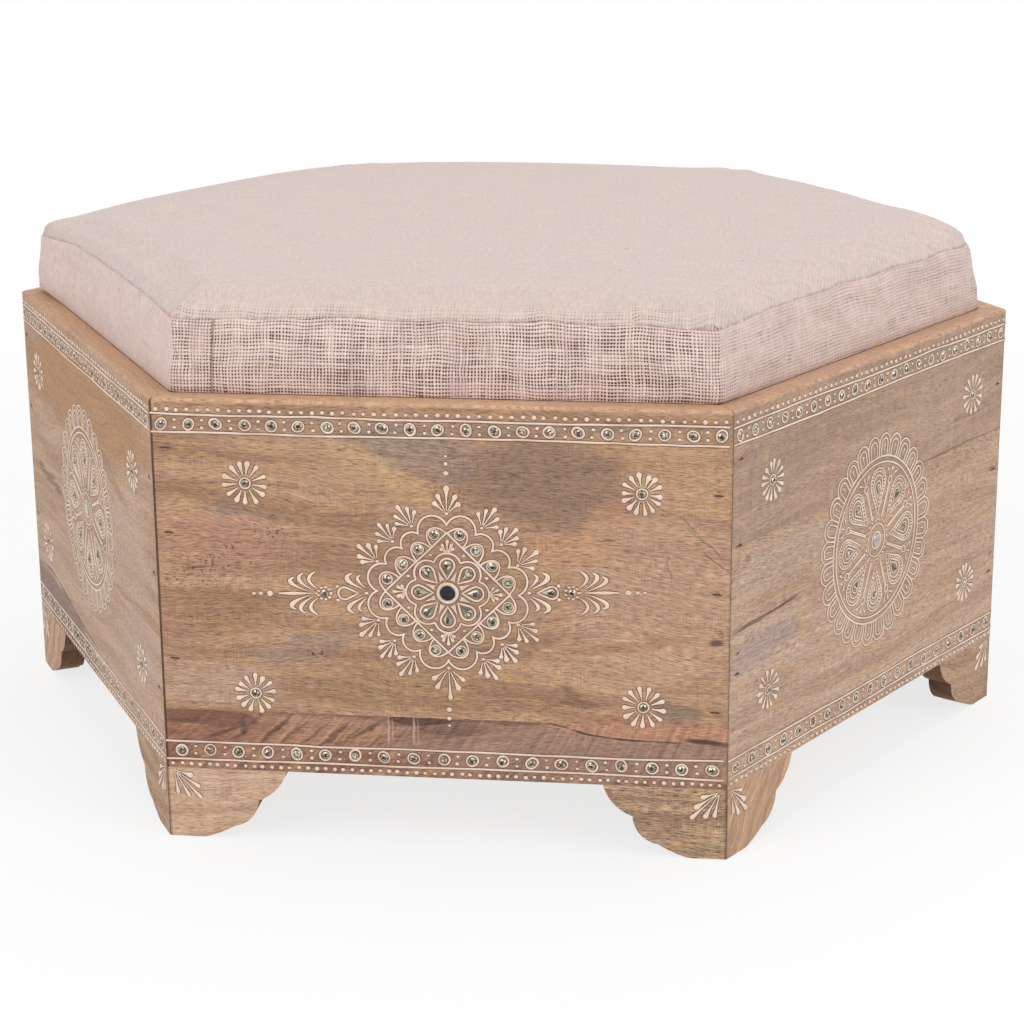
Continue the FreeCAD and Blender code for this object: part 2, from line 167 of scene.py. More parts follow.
def surface(colour, roughness, height=None, deep=0.0, **constants):
    """Ends a finish: its shader, with bumps of a depth in millimetres, and the material's output."""
    values = {name.replace("_", " "): value for name, value in constants.items()}
    if height is not None:
        bumps = {"Height": height, "Distance": deep * MM, "Strength": 1.0}
        values["Normal"] = height.add("Bump", {}, bumps)
    source = next(wire for wire in (colour, roughness, height) if isinstance(wire, Wire))
    shader = source.add("BsdfPrincipled", {}, {"Base Color": colour, "Roughness": roughness, **values})
    source.add("OutputMaterial", {}, {"Surface": shader})


def use(node_or_piece, material):
    """The piece shows one material only."""
    node_or_piece.data.materials.clear()
    node_or_piece.data.materials.append(material)


def spot(sheet, place, turn=0.0):
    """Distance from the middle of an oval, 1 on its edge. place is the oval's middle and half sizes."""
    along, height, half_long, half_high = place
    oval = {
        "Vector": sheet,
        "Location": (along, height, 0),
        "Rotation": (0, 0, math.radians(turn)),
        "Scale": (half_long, half_high, 1),
    }
    local = sheet.add("Mapping", {"vector_type": "TEXTURE"}, oval)
    return sheet.add("VectorMath", {"operation": "LENGTH"}, {0: local}, "Value")


def stain(colour, sheet, ovals, outer, inner):
    """Colour with ovals (place, turn, tone, strength) over it, which fade between two distances."""
    for place, turn, oval_tone, strength in ovals:
        share = strength * spot(sheet, place, turn).step(outer, inner)
        colour = share.blend(colour, tone(*oval_tone))
    return colour


def mango(name, turn, seed, tones, lean=0.0, lines=1.0, ribbon_and_sheen=0.0, slant=0.0, ends=(0.4, 0.4), raw=0.0,
          rim_tone=WAXED_RIM, patches=(), tongues=(), marks=(), specks=(), wisps=()):
    """Waxed mango wood of one board. tones are its darker and lighter colour, lean the slope of its grain.

    ribbon is the strength of the figure across the grain, partly the wood's own figure and partly painted
    sheen, slant how far that leans, raw the darkness of the unwaxed sawn edges and back faces, partly
    painted shade, and rim_tone the colour of the upper edge. A patch, or a tongue with a clear edge, is
    (place, turn, tone, strength), a mark or pale wisp (place, turn, strength), a cluster of specks a place.
    """
    material, place = new_finish(name)
    along, depth, height = place.millimetres(turn)
    face = height - EDGE_FOLD * (depth + APOTHEM)
    sway = (along / 150).noise(face / 60, seed, 1.0) - 0.5
    flow = face + lean * along + 34 * sway
    band = (along / 170).noise(flow / 15, seed + 1, 3.0)
    line = (along / 80).noise(flow / 2.4, seed + 2, 3.0)
    fibre = (along / 7).noise(flow / 0.66, seed + 3, 4.0)
    pore = (along / 6).noise(flow / 0.8, seed + 4, 1.0).step(0.55, 0.65)
    saw = (along / 1.1).noise(face / 16, seed + 10, 2.0) - 0.5
    cloud = (along / 24).noise(flow / 9, seed + 8, 3.0)
    fanned = along - slant * face * (0.5 - along / (4 * HALF_SIDE))
    # Stripes across the grain: partly the wood's own figure, partly painted sheen.
    stripe = (fanned / 5).noise(face / 90, seed + 5, 4.0) - 0.5
    colour = band.step(0.36, 0.64).blend(tone(*tones[0]), tone(*tones[1]))
    colour = (0.4 * cloud.step(0.52, 0.66)).blend(colour, tone(*WARM_CAST))
    colour = (0.4 * cloud.step(0.48, 0.34)).blend(colour, tone(*PINK_CAST))
    drift = (along / 42).noise(flow / 13, seed + 6, 3.0) - 0.5
    rise = (along / 34).noise(flow / 6, seed + 7, 3.0) - 0.5
    sheet = along.add("CombineXYZ", {}, {"X": along + 60 * drift, "Y": face + 20 * rise})
    colour = stain(colour, sheet, patches, 1.2, 0.68)
    close = along.add("CombineXYZ", {}, {"X": along + 9 * rise, "Y": face + 5 * drift})
    colour = stain(colour, close, tongues, 1.1, 0.9)
    rim = height.step(RIM_HEIGHT - RIM_WEAR[0], RIM_HEIGHT - RIM_WEAR[1])
    colour = (0.75 * rim).blend(colour, tone(*rim_tone))
    # Sawn edges and back faces go darker: partly unwaxed end grain, partly painted shade on the inner
    # faces.
    if raw:
        normal = Wire(place.socket.node.outputs["Normal"])
        turned = {"Vector": normal, "Rotation": (0, 0, -math.radians(turn))}
        outward = normal.add("Mapping", {"vector_type": "NORMAL"}, turned).parts()[1]
        colour = (raw * outward.step(-0.8, -0.4)).blend(colour, tone(*SAWN_EDGE_AND_SHADE))
    grain = 0.75 * (line - 0.5) + 1.9 * (fibre - 0.5) + 0.3 * (cloud - 0.5) - 0.26 * (pore - 0.25)
    grain = grain + 0.9 * saw * drift.step(-0.05, 0.15)
    colour = (1 + lines * (1 - 0.15 * rim) * grain + ribbon_and_sheen * stripe).shading(colour)
    if specks:
        grains = (along / 3.2).noise(face / 1.9, seed + 9, 3.0).step(0.57, 0.64)
        for where in specks:
            cluster = spot(close, where).step(1.4, 0.4) * grains
            colour = (0.75 * cluster).blend(colour, tone(*SPALT))
    cracks = [(where, lay, OLD_CRACK, strength) for where, lay, strength in marks]
    colour = stain(colour, close, cracks, 1.2, 0.5)
    plain = along.add("CombineXYZ", {}, {"X": along + 2 * rise, "Y": face})
    pale = [(where, lay, PALE_WISP, strength) for where, lay, strength in wisps]
    colour = stain(colour, plain, pale, 1.2, 0.3)
    exact = along.add("CombineXYZ", {}, {"X": along, "Y": face})
    slots = [((*middle, *SLOT_HALF), SLOT_TURN, OLD_CRACK, 0.9) for middle in NAIL_SLOTS]
    colour = stain(colour, exact, slots, 1.2, 0.7)
    for end, strength in zip((-1, 1), ends):
        mitre = (along * end).step(HALF_SIDE - MITRE_WEAR[0], HALF_SIDE - MITRE_WEAR[1]) * strength
        colour = mitre.blend(colour, tone(*OLD_CRACK))
    roughness = 0.62 - 0.2 * (line - 0.5) + 0.12 * pore
    surface(colour, roughness, 0.35 * line + 0.4 * fibre - 0.6 * pore, 0.25, Specular_IOR_Level=0.35)
    return material


BOARD_TONES = {
    "front_upper": ((158, 122, 95), (184, 147, 117)),
    "front_lower": ((122, 84, 67), (168, 128, 106)),
    "right_front_upper": ((160, 134, 114), (178, 150, 130)),
    "right_front_middle": ((174, 145, 122), (190, 161, 138)),
    "right_front_lower": ((178, 148, 127), (192, 164, 142)),
    "left_front_upper": ((172, 138, 112), (190, 161, 138)),
    "left_front_lower": ((180, 148, 126), (194, 165, 144)),
    "right_back_upper": ((168, 136, 110), (188, 154, 128)),
    "right_back_middle": ((152, 120, 98), (176, 142, 118)),
    "right_back_lower": ((176, 144, 120), (192, 162, 138)),
    "back_upper": ((164, 130, 106), (186, 150, 124)),
    "back_middle": ((178, 150, 128), (192, 164, 142)),
    "back_lower": ((142, 106, 88), (168, 132, 110)),
    "left_back_upper": ((170, 140, 118), (186, 156, 132)),
    "left_back_lower": ((158, 124, 100), (182, 148, 122)),
}
BOARD_FIGURES = {
    "front_upper": {
        "lean": 0.05,
        "patches": (
            ((5, 191, 66, 62), 0, (150, 124, 106), 0.4),
            ((0, 309, 230, 9), 0, (150, 124, 106), 0.5),
            ((150, 190, 60, 70), 0, (190, 154, 129), 0.55),
            ((122, 145, 60, 24), 4, (196, 159, 131), 0.55),
            ((72, 271, 64, 34), -6, (142, 116, 96), 0.85),
            ((-30, 297, 60, 10), -4, (148, 126, 110), 0.6),
            ((-47, 279, 56, 12), -26, (180, 147, 117), 0.85),
            ((-22, 266, 18, 9), -28, (196, 146, 106), 0.55),
            ((88, 224, 30, 14), 10, (194, 148, 118), 0.75),
            ((120, 252, 14, 9), 30, (190, 140, 112), 0.5),
            ((166, 280, 42, 30), -36, (190, 152, 120), 0.6),
            ((-150, 224, 60, 22), -8, (182, 136, 114), 0.6),
            ((-142, 247, 28, 6), -6, (136, 116, 104), 0.6),
            ((-165, 176, 50, 13), -3, (148, 114, 84), 0.55),
            ((-160, 118, 52, 16), 0, (190, 158, 136), 0.65),
            ((-40, 121, 52, 15), 10, (160, 128, 96), 0.75),
            ((-96, 147, 40, 11), 12, (152, 129, 114), 0.6),
            ((130, 156, 42, 5), 8, (160, 114, 84), 0.5),
            ((92, 118, 18, 4), -24, (118, 90, 70), 0.55),
            ((162, 109, 20, 8), -32, (134, 116, 104), 0.7),
            ((150, 100, 60, 5), -3, (178, 128, 102), 0.6),
        ),
        "tongues": (
            ((-14, 290, 42, 17), -22, (152, 130, 116), 0.6),
            ((-42, 277, 44, 10), -29, (190, 155, 117), 0.6),
        ),
        "marks": (
            ((-140, 214, 5, 0.8), -6, 0.6),
            ((-146, 219.5, 1.0, 2.6), 0, 0.6),
            ((-151, 219.5, 1.0, 2.2), 0, 0.6),
            ((-160, 209, 0.9, 6), 0, 0.5),
            ((-172, 204, 9, 1.3), 6, 0.6),
            ((-90, 143, 1.1, 1.8), 0, 0.7),
            ((-84, 144, 1.1, 2.2), 0, 0.7),
            ((182, 232, 18, 0.6), -42, 0.5),
            ((190, 219, 14, 0.6), -38, 0.5),
            ((172, 244, 20, 0.5), -46, 0.35),
            ((116, 232, 7, 0.8), 8, 0.6),
            ((158, 214, 0.7, 14), 10, 0.35),
            ((190, 161, 6, 2.4), 0, 0.75),
            ((193, 167, 3, 3.0), 0, 0.4),
        ),
        "specks": (
            (-120, 231, 15, 10),
            (-176, 197, 24, 9),
            (8, 265, 14, 8),
            (-155, 208, 30, 7),
            (-84, 143, 14, 4),
        ),
        "ends": (0.85, 0.15),
    },
    "front_lower": {
        "lean": -0.06,
        "lines": 0.8,
        "ribbon_and_sheen": 1.5,
        "slant": 1.7,
        "patches": (
            ((-150, 82, 60, 16), -3, (152, 106, 86), 0.6),
            ((95, 76, 130, 26), 0, (160, 129, 111), 0.8),
            ((-80, 82, 46, 14), 0, (174, 130, 106), 0.6),
            ((-10, 93, 32, 7), 0, (106, 78, 68), 0.6),
        ),
        "tongues": (
            ((-168, 92, 36, 6.0), -3, (116, 80, 66), 0.7),
            ((-143, 86, 2.6, 7.0), 6, (96, 82, 76), 0.75),
            ((-16, 97.0, 22, 4.4), 0, (82, 56, 48), 0.8),
            ((42, 98.4, 46, 3.2), 0, (108, 80, 68), 0.7),
            ((168, 99, 96, 12.5), 0, (184, 138, 110), 0.95),
        ),
        "marks": (
            ((-158, 81, 14, 2.0), 24, 0.65),
            ((-146, 79, 12, 1.3), 28, 0.45),
            ((-120, 84, 17, 2.2), 42, 0.6),
            ((-108, 82, 16, 1.4), 42, 0.45),
            ((-93, 82, 16, 1.3), 41, 0.45),
            ((-78, 82, 18, 2.4), 41, 0.6),
            ((-66, 82, 15, 1.2), 38, 0.45),
            ((-54, 87, 18, 2.0), 33, 0.6),
            ((-48, 78, 12, 1.2), 40, 0.4),
            ((-190, 89, 20, 1.6), 2, 0.4),
            ((81, 96.0, 10, 0.8), -15, 0.8),
            ((104, 91.0, 16, 0.9), -11, 0.9),
            ((131, 87.2, 16, 0.9), -4, 0.9),
            ((157, 86.4, 14, 0.8), 0, 0.75),
            ((184, 88.0, 18, 2.4), -4, 0.9),
        ),
        "wisps": (
            ((-38.5, 87, 0.9, 13), -1, 0.75),
            ((-35.5, 87, 0.6, 12), 1, 0.5),
            ((-20.5, 88, 1.2, 13), -1, 0.65),
            ((-17.5, 87, 0.6, 12), 1, 0.4),
        ),
        "ends": (0.85, 0.15),
    },
    "right_front_upper": {
        # Darker rim tone on this side: painted shade.
        "rim_tone": (197, 156, 126),
        "ends": (0.15, 0.4),
        "ribbon_and_sheen": 0.3,
        "lines": 0.7,
        "patches": (
            ((-130, 270, 60, 40), 0, (165, 138, 118), 0.6),
            ((110, 268, 70, 34), 0, (182, 154, 134), 0.5),
            ((150, 252, 30, 4), 6, (126, 100, 86), 0.4),
        ),
        "marks": (((120, 228.8, 80, 0.7), 0, 0.6),),
    },
    "right_front_middle": {
        "ends": (0.15, 0.4),
        "lean": 0.03,
        "patches": (
            ((-120, 206, 80, 16), 3, (182, 158, 140), 0.6),
            ((60, 196, 60, 8), 4, (192, 158, 128), 0.5),
        ),
        "marks": (
            ((-160, 168.8, 44, 1.2), 3, 0.7),
            ((-124, 171, 16, 1.6), 5, 0.6),
            ((187, 197, 5, 2), 0, 0.5),
        ),
    },
    "right_front_lower": {
        "ends": (0.15, 0.4),
        "lean": 0.02,
        "lines": 0.9,
        "patches": (
            ((-155, 148, 52, 14), 4, (172, 148, 140), 0.75),
            ((40, 120, 90, 14), 3, (190, 158, 130), 0.5),
        ),
        "marks": (
            ((-176, 166.8, 26, 1.0), 3, 0.7),
            ((-190, 151, 3, 1.2), 0, 0.7),
            ((192, 126, 4, 2.4), 0, 0.5),
        ),
    },
    "left_front_upper": {
        # Darker rim tone on this side: painted shade.
        "rim_tone": (192, 150, 118),
        "lean": -0.04,
        "lines": 0.6,
        "patches": (
            ((-20, 276, 230, 36), 2, (174, 133, 96), 1.0),
            ((60, 243, 70, 8), -16, (152, 120, 98), 0.5),
            ((-130, 180, 52, 4.5), -4, (118, 90, 76), 0.7),
            ((120, 190, 60, 40), 0, (192, 166, 148), 0.5),
        ),
        "ends": (0.4, 0.6),
    },
    "left_front_lower": {
        "lean": -0.03,
        "lines": 0.6,
        "patches": (
            ((-118, 71, 122, 22), -5, (138, 110, 102), 0.9),
            ((130, 120, 50, 30), 0, (188, 164, 150), 0.5),
        ),
        "marks": (
            ((-150, 96, 26, 1.3), -1, 0.6),
            ((-104, 91, 26, 1.4), -9, 0.65),
            ((-64, 85, 24, 1.3), -7, 0.6),
            ((-18, 80, 28, 1.1), -6, 0.5),
        ),
        "ends": (0.4, 0.6),
    },
}
PLAIN_PATCHES = ((150, 128, 112), (192, 152, 112), (150, 114, 86), (186, 156, 134), (178, 134, 108))


def plain_patches(board, seed):
    """Patches at random, for a board without a figure of its own."""
    chance = np.random.default_rng(seed)
    low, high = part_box(board)
    patches = []
    for patch_tone in PLAIN_PATCHES:
        height = chance.uniform(low.z, high.z) / MM
        where = (chance.uniform(-170, 170), height, chance.uniform(25, 70), chance.uniform(5, 18))
        patches.append((where, chance.uniform(-20, 20), patch_tone, chance.uniform(0.4, 0.7)))
    return tuple(patches)


for seed, (board, tones) in enumerate(BOARD_TONES.items()):
    node = f"{board}_board"
    side = board.rsplit("_", 1)[0]
    look = dict(BOARD_FIGURES.get(board, {}))
    look.setdefault("patches", plain_patches(node, seed))
    wood = mango(f"mango_{board}", 60 * SIDES.index(side), 11.0 * seed, tones, **look)
    use(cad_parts[node], wood)


# Foot brackets
# Twelve scalloped mango brackets, sawn from offcuts of the same boards, mitred and glued under the sides.
# Each has its own grain: some show bold flat lines, some stand nearly upright.
BRACKET_TONES = (
    ((190, 156, 129), (211, 179, 152)),
    ((152, 124, 98), (180, 152, 124)),
    ((182, 146, 116), (205, 169, 140)),
    ((162, 130, 104), (184, 152, 126)),
)
BRACKET_LINES = (0.8, 1.7, 1.2, 1.0)
BRACKET_LEANS = (-0.05, -0.04, -1.6, 0.1)
# Darkness of the brackets' sawn edges and back faces, partly painted shade.
BRACKET_RAW_AND_SHADE = 0.85
for seed, side in enumerate(SIDES):
    for end, hand in enumerate(("left", "right")):
        kind = (2 * seed + end) % len(BRACKET_TONES)
        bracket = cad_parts[f"{side}_foot_bracket_{hand}"]
        look = {"lean": BRACKET_LEANS[kind], "lines": BRACKET_LINES[kind], "raw": BRACKET_RAW_AND_SHADE}
        name = f"mango_{side}_{hand}_bracket"
        use(bracket, mango(name, 60 * seed, 300 + 7 * kind + seed, BRACKET_TONES[kind], **look))


# Corner posts and cleats
# Glue blocks behind the mitres, and square strips that carry the seat and the base.
# They are sawn from plain pale wood, left rough from the blade and unwaxed.
SAWN_TONES = ((176, 138, 98), (206, 172, 128))
POST_CORNERS = ("front_right", "right", "back_right", "back_left", "left", "front_left")


def sawn(name, turn, seed, upright):
    """Rough-sawn wood with its grain along a strip, or up a post, and the marks of the blade across it."""
    material, place = new_finish(name)
    along, depth, height = place.millimetres(turn)
    length, across = (height, along + depth) if upright else (along, height + depth)
    band = (length / 130).noise(across / 7, seed, 3.0)
    fibre = (length / 12).noise(across / 0.8, seed + 1, 2.0)
    blade = (length / 2.2).noise(across / 60, seed + 2, 1.0)
    colour = band.step(0.35, 0.65).blend(tone(*SAWN_TONES[0]), tone(*SAWN_TONES[1]))
    shade = 1 + 0.3 * (fibre - 0.5) + 0.22 * (blade - 0.5)
    colour = shade.shading(colour)
    surface(colour, 0.75 + 0.2 * (fibre - 0.5), 0.6 * blade + 0.5 * fibre, 0.4)
    return material


for seed, side in enumerate(SIDES):
    for level in ("seat", "base"):
        strip_wood = sawn(f"sawn_{side}_{level}", 60 * seed, 500 + 3 * seed, False)
        use(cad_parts[f"{side}_{level}_cleat"], strip_wood)
for seed, corner in enumerate(POST_CORNERS):
    post_wood = sawn(f"sawn_{corner}_post", 60 * seed, 540 + 3 * seed, True)
    use(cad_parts[f"{corner}_corner_post"], post_wood)


# Base board and seat board
# Plywood, sawn to the hexagon: a rotary-cut face veneer with broad loops of grain.
# Its plies show as bands on the sawn edge.
VENEER_TONES = ((186, 146, 104), (212, 178, 136))
PLY_THICK = 3.0


def plywood(name, seed):
    """Plywood lying flat."""
    material, place = new_finish(name)
    along, across, height = place.millimetres()
    sway = (along / 260).noise(across / 90, seed, 2.0)
    loops = (along / 300).noise((across + 160 * sway) / 14, seed + 1, 2.0)
    fibre = (along / 18).noise(across / 0.9, seed + 2, 2.0)
    ply = (height / PLY_THICK).maths("FRACT", height / PLY_THICK).step(0.4, 0.6)
    colour = loops.step(0.35, 0.65).blend(tone(*VENEER_TONES[0]), tone(*VENEER_TONES[1]))
    shade = 0.92 + 0.3 * (fibre - 0.5) + 0.1 * ply
    colour = shade.shading(colour)
    surface(colour, 0.7 - 0.15 * (loops - 0.5), 0.4 * loops + 0.5 * fibre, 0.2)
    return material


use(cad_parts["base_board"], plywood("plywood_base", 600))
use(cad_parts["seat_board"], plywood("plywood_seat", 620))


# Nails, screws and staples
# Wire nails set just under the face and puttied over, zinc-plated screws in the cleats, and bright staples
# that hold the cover. Each group takes one finish: no bare steel is left on the nails.
NAIL_STEEL = (150, 120, 95)
NAIL_PUTTY = (172, 138, 110)
SCREW_TONES = ((196, 188, 168), (150, 132, 100))
STAPLE_TONES = ((188, 190, 192), (140, 132, 122))
NAIL_HEIGHTS = tuple(height for _, height in NAIL_SLOTS)


def steel(name, clean, stained, share, slots=()):
    """Steel wire or screw, clean to stained in small blotches, with a dark slot at some heights."""
    material, place = new_finish(name)
    across, deep, up = place.millimetres()
    blotch = ((across + up) / 1.6).noise((deep + up) / 1.6, 3.0, 3.0).step(0.75 - share, 0.95 - share)
    colour = blotch.blend(tone(*clean), tone(*stained))
    for height in slots:
        colour = (0.9 * abs(up - height).step(0.9, 0.5)).blend(colour, tone(*OLD_CRACK))
    surface(colour, 0.32 + 0.4 * blotch, blotch, 0.05, Metallic=1.0 - blotch)
    return material


use(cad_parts["panel_nails"], steel("nail_steel", NAIL_STEEL, NAIL_PUTTY, 0.9, NAIL_HEIGHTS))
use(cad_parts["cleat_screws"], steel("screw_zinc", *SCREW_TONES, 0.25))
use(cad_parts["cover_staples"], steel("staple_wire", *STAPLE_TONES, 0.2))


# Raised paint
# Cream acrylic piped on by hand from a cone: bands, flowers, medallions and fans, proud of the wood.
# Lines were drawn before the stones were pressed in, so each ring and petal follows its stone.
PAINT = (240, 216, 196)
PAINT_SHADE = (224, 194, 170)
# Colour of the painted shadow round each bead of paint.
PAINT_SHADOW_EDGE = (98, 72, 56)
LINE = 0.75
THIN_LINE = 0.66
PAINT_RISE = 0.8
# Width of the skirt round each bead that takes the painted shadow, and its lift off the wood.
SHADOW_SKIRT = 0.5
SHADOW_SKIRT_LIFT = 0.02
BEAD_LIFT = 0.05
BEAD = ((-1.0, 0.0), (-0.8, 0.6), (0.0, 1.0), (0.8, 0.6), (1.0, 0.0))
EDGE_SPREAD = ((-47, 0.66), (-24, 0.8), (0, 1), (24, 0.8), (47, 0.66))
INNER_SPREAD = ((-54, 0.64), (-28, 0.8), (0, 1), (28, 0.8), (54, 0.64))
UPRIGHT_SPREAD = ((-50, 0.62), (-27, 0.76), (0, 1), (27, 0.76), (50, 0.62))


def solids_of(node):
    """Middle and box size of each solid of a group node, by side: [(along, height, long, high)]."""
    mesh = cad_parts[node].data
    points = np.empty(len(mesh.vertices) * 3)
    mesh.vertices.foreach_get("co", points)
    points = points.reshape(-1, 3) / MM
    same = np.unique(points.round(2), axis=0, return_inverse=True)[1].ravel()
    ends = np.empty(len(mesh.edges) * 2, dtype=np.int32)
    mesh.edges.foreach_get("vertices", ends)
    ends = same[ends].reshape(-1, 2)
    label = np.arange(same.max() + 1)
    while True:
        lower = label.copy()
        np.minimum.at(lower, ends[:, 0], label[ends[:, 1]])
        np.minimum.at(lower, ends[:, 1], label[ends[:, 0]])
        if np.array_equal(lower, label):
            break
        label = lower
    found = {side: [] for side in SIDES}
    labels = label[same]
    for one in np.unique(labels):
        solid = points[labels == one]
        middle = (solid.min(axis=0) + solid.max(axis=0)) / 2
        side = SIDES[round((math.degrees(math.atan2(middle[1], middle[0])) + 90) / 60) % 6]
        turn = -math.radians(60 * SIDES.index(side))
        along = solid[:, 0] * math.cos(turn) - solid[:, 1] * math.sin(turn)
        low = np.array((along.min(), solid[:, 2].min()))
        high = np.array((along.max(), solid[:, 2].max()))
        found[side].append((*(low + high) / 2, *(high - low)))
    return found


def on_side(side, points):
    """Points (along, height, out) of one side in metres, in the frame."""
    turn = math.radians(60 * SIDES.index(side))
    along, height, out = np.asarray(points, float).T
    deep = -APOTHEM - out
    x = along * math.cos(turn) - deep * math.sin(turn)
    y = along * math.sin(turn) + deep * math.cos(turn)
    return np.column_stack((x, y, height)) * MM


def piece(name, points, faces, material, body, smooth=True):
    """New mesh piece that rides on a body."""
    mesh = bpy.data.meshes.new(name)
    mesh.from_pydata(np.asarray(points).tolist(), [], faces)
    mesh.update()
    mesh.polygons.foreach_set("use_smooth", [smooth] * len(mesh.polygons))
    made = bpy.data.objects.new(name, mesh)
    bpy.context.scene.collection.objects.link(made)
    use(made, material)
    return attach(made, body)


def strip(first, count, rows, closed=True):
    """Faces between rows of count points each, which follow one another from a first point."""
    faces = []
    for row in range(rows - 1):
        low = first + row * count
        for k in range(count if closed else count - 1):
            after = (k + 1) % count
            faces.append((low + k, low + after, low + count + after, low + count + k))
    return faces


def around(centre, radius, turn):
    """Place at a radius and a turn in degrees from a centre."""
    angle = math.radians(turn)
    return np.array((centre[0] + radius * math.cos(angle), centre[1] + radius * math.sin(angle)))


def beside(centre, turn, out, across):
    """Place that lies out from a centre along a turn in degrees, and across to the left of that."""
    return around(centre, math.hypot(out, across), turn + math.degrees(math.atan2(across, out)))


def ring(centre, radius, count=28):
    """Points of a circle."""
    return [around(centre, radius, 360 * k / count) for k in range(count)]


def bow(start, middle, end, count=9):
    """Points of the arc through three points."""
    start, middle, end = (complex(*point) for point in (start, middle, end))
    turn = (end - start) / (middle - start)
    hub = start - (start - middle) * (turn - abs(turn) ** 2) / (2j * turn.imag)
    first = start - hub
    half = np.angle((middle - hub) / first)
    rest = np.angle((end - hub) / (middle - hub))
    arms = [first * np.exp(1j * (half + rest) * k / (count - 1)) for k in range(count)]
    return [np.array(((hub + arm).real, (hub + arm).imag)) for arm in arms]


def bend(start, pull, end, count=9):
    """Points of a simple curve that leaves its start towards a pull point."""
    start, pull, end = (np.asarray(point, float) for point in (start, pull, end))
    shares = np.linspace(0, 1, count)
    return [(1 - s) ** 2 * start + 2 * s * (1 - s) * pull + s * s * end for s in shares]


class Piping:
    """Paint on one side: strokes are piped one by one, and made into one mesh at the end."""

    def __init__(self, seed):
        self.chance = np.random.default_rng(seed)
        self.points = []
        self.crests = []
        self.faces = []

    def wander(self, count, every):
        """A hand's slow drift from -1 to 1 along a row of points."""
        knots = self.chance.uniform(-1, 1, count // every + 3)
        return np.interp(np.arange(count) / every, np.arange(len(knots)), knots)

    def stroke(self, path, half_width, closed=False, shake=0.12):
        """Bead of paint along a path, with rounded ends where it isn't closed."""
        path = np.asarray(path, float)
        half = np.broadcast_to(half_width, len(path)) * (1 + 0.14 * self.wander(len(path), 3))
        path = path + shake * np.column_stack((self.wander(len(path), 4), self.wander(len(path), 4)))
        if not closed and half[0] > 0.3 * LINE:
            away = (path[0] - path[1]) / np.linalg.norm(path[0] - path[1])
            path = np.vstack((path[0] + away * half[0], path[0] + 0.7 * away * half[0], path))
            half = np.concatenate(((0.05 * half[0], 0.7 * half[0]), half))
        if not closed and half[-1] > 0.3 * LINE:
            away = (path[-1] - path[-2]) / np.linalg.norm(path[-1] - path[-2])
            path = np.vstack((path, path[-1] + 0.7 * away * half[-1], path[-1] + away * half[-1]))
            half = np.concatenate((half, (0.7 * half[-1], 0.05 * half[-1])))
        count = len(path)
        if closed:
            ahead = np.roll(path, -1, axis=0) - np.roll(path, 1, axis=0)
        else:
            ahead = np.gradient(path, axis=0)
        ahead /= np.maximum(np.linalg.norm(ahead, axis=1), 1e-9)[:, None]
        left = np.column_stack((-ahead[:, 1], ahead[:, 0]))
        rise = np.minimum(0.5 * half, PAINT_RISE)
        first = len(self.points)
        for row, (across, up) in enumerate(((-1.0, 0.0), *BEAD, (1.0, 0.0))):
            # The two outer rows are a skirt on the wood that takes painted shadow round the bead.
            shadow_skirt = SHADOW_SKIRT * across if row in (0, len(BEAD) + 1) else 0.0
            flat = path + left * (half * across + shadow_skirt)[:, None]
            off_wood = SHADOW_SKIRT_LIFT if shadow_skirt else BEAD_LIFT
            self.points.extend(np.column_stack((flat, rise * up + off_wood)).tolist())
            self.crests.extend([up] * count)
        self.faces += strip(first, count, len(BEAD) + 2, closed)

    def dot(self, centre, radius):
        """Round dot of paint."""
        radius = radius * self.chance.uniform(0.88, 1.12)
        turns = np.linspace(0, math.pi, 8)
        path = [(centre[0] - radius * math.cos(turn), centre[1]) for turn in turns]
        self.stroke(path, radius * np.sin(turns), shake=0.0)

    def drop(self, path, head, tail=0.4, swelling=3.2):
        """Stroke that swells along its path to a round head at the end, late where swelling is large."""
        path = np.asarray(path, float)
        steps = np.concatenate(((0,), np.cumsum(np.linalg.norm(np.diff(path, axis=0), axis=1))))
        neck = steps[-1] - head
        over_head = neck + head * np.sin(np.linspace(0.3, math.pi / 2, 5))
        places = np.concatenate((np.linspace(0, neck, 7), over_head))
        swell = tail + (head - tail) * np.clip(places / neck, 0, 1) ** swelling
        past = np.clip((places - neck) / head, 0, 1)
        half = swell * np.sqrt(1 - past ** 2)
        run = np.column_stack([np.interp(places, steps, path[:, axis]) for axis in (0, 1)])
        self.stroke(run, np.maximum(half, 0.02), shake=0.05)

    def leaf(self, path, half_width):
        """Comma of paint: thin where it starts, widest past its middle, and bluntly pointed."""
        share = np.linspace(0, 1, len(path))
        half = 0.35 + half_width * np.sin(math.pi * np.clip(share ** 1.35, 0, 0.9))
        self.stroke(path, half, shake=0.05)

    def fan(self, base, turn, length, head, spread=EDGE_SPREAD):
        """Drops that spread from a base. spread gives the lean of each and its share of the length."""
        for lean, share in spread:
            lean += self.chance.uniform(-3, 3)
            start = around(base, 0.16 * length, turn + lean)
            end = around(base, share * length, turn + lean)
            self.drop([start, end], head * self.chance.uniform(0.85, 1.1))

    def tear(self, centre, turn, point, head_at, head, half_width):
        """Closed teardrop, with its point and its head's middle at distances from a centre along a turn."""
        reach = head_at - point
        touch = math.degrees(math.acos(head / reach))
        middle = around(centre, head_at, turn)
        sweep = np.linspace(-(180 - touch), 180 - touch, 15)
        path = [around(centre, point, turn)] + [around(middle, head, turn + lean) for lean in sweep]
        flank = [(path[0] + path[1]) / 2, (path[0] + path[-1]) / 2]
        self.stroke([path[0], flank[0], *path[1:], flank[1]], half_width, closed=True, shake=0.08)

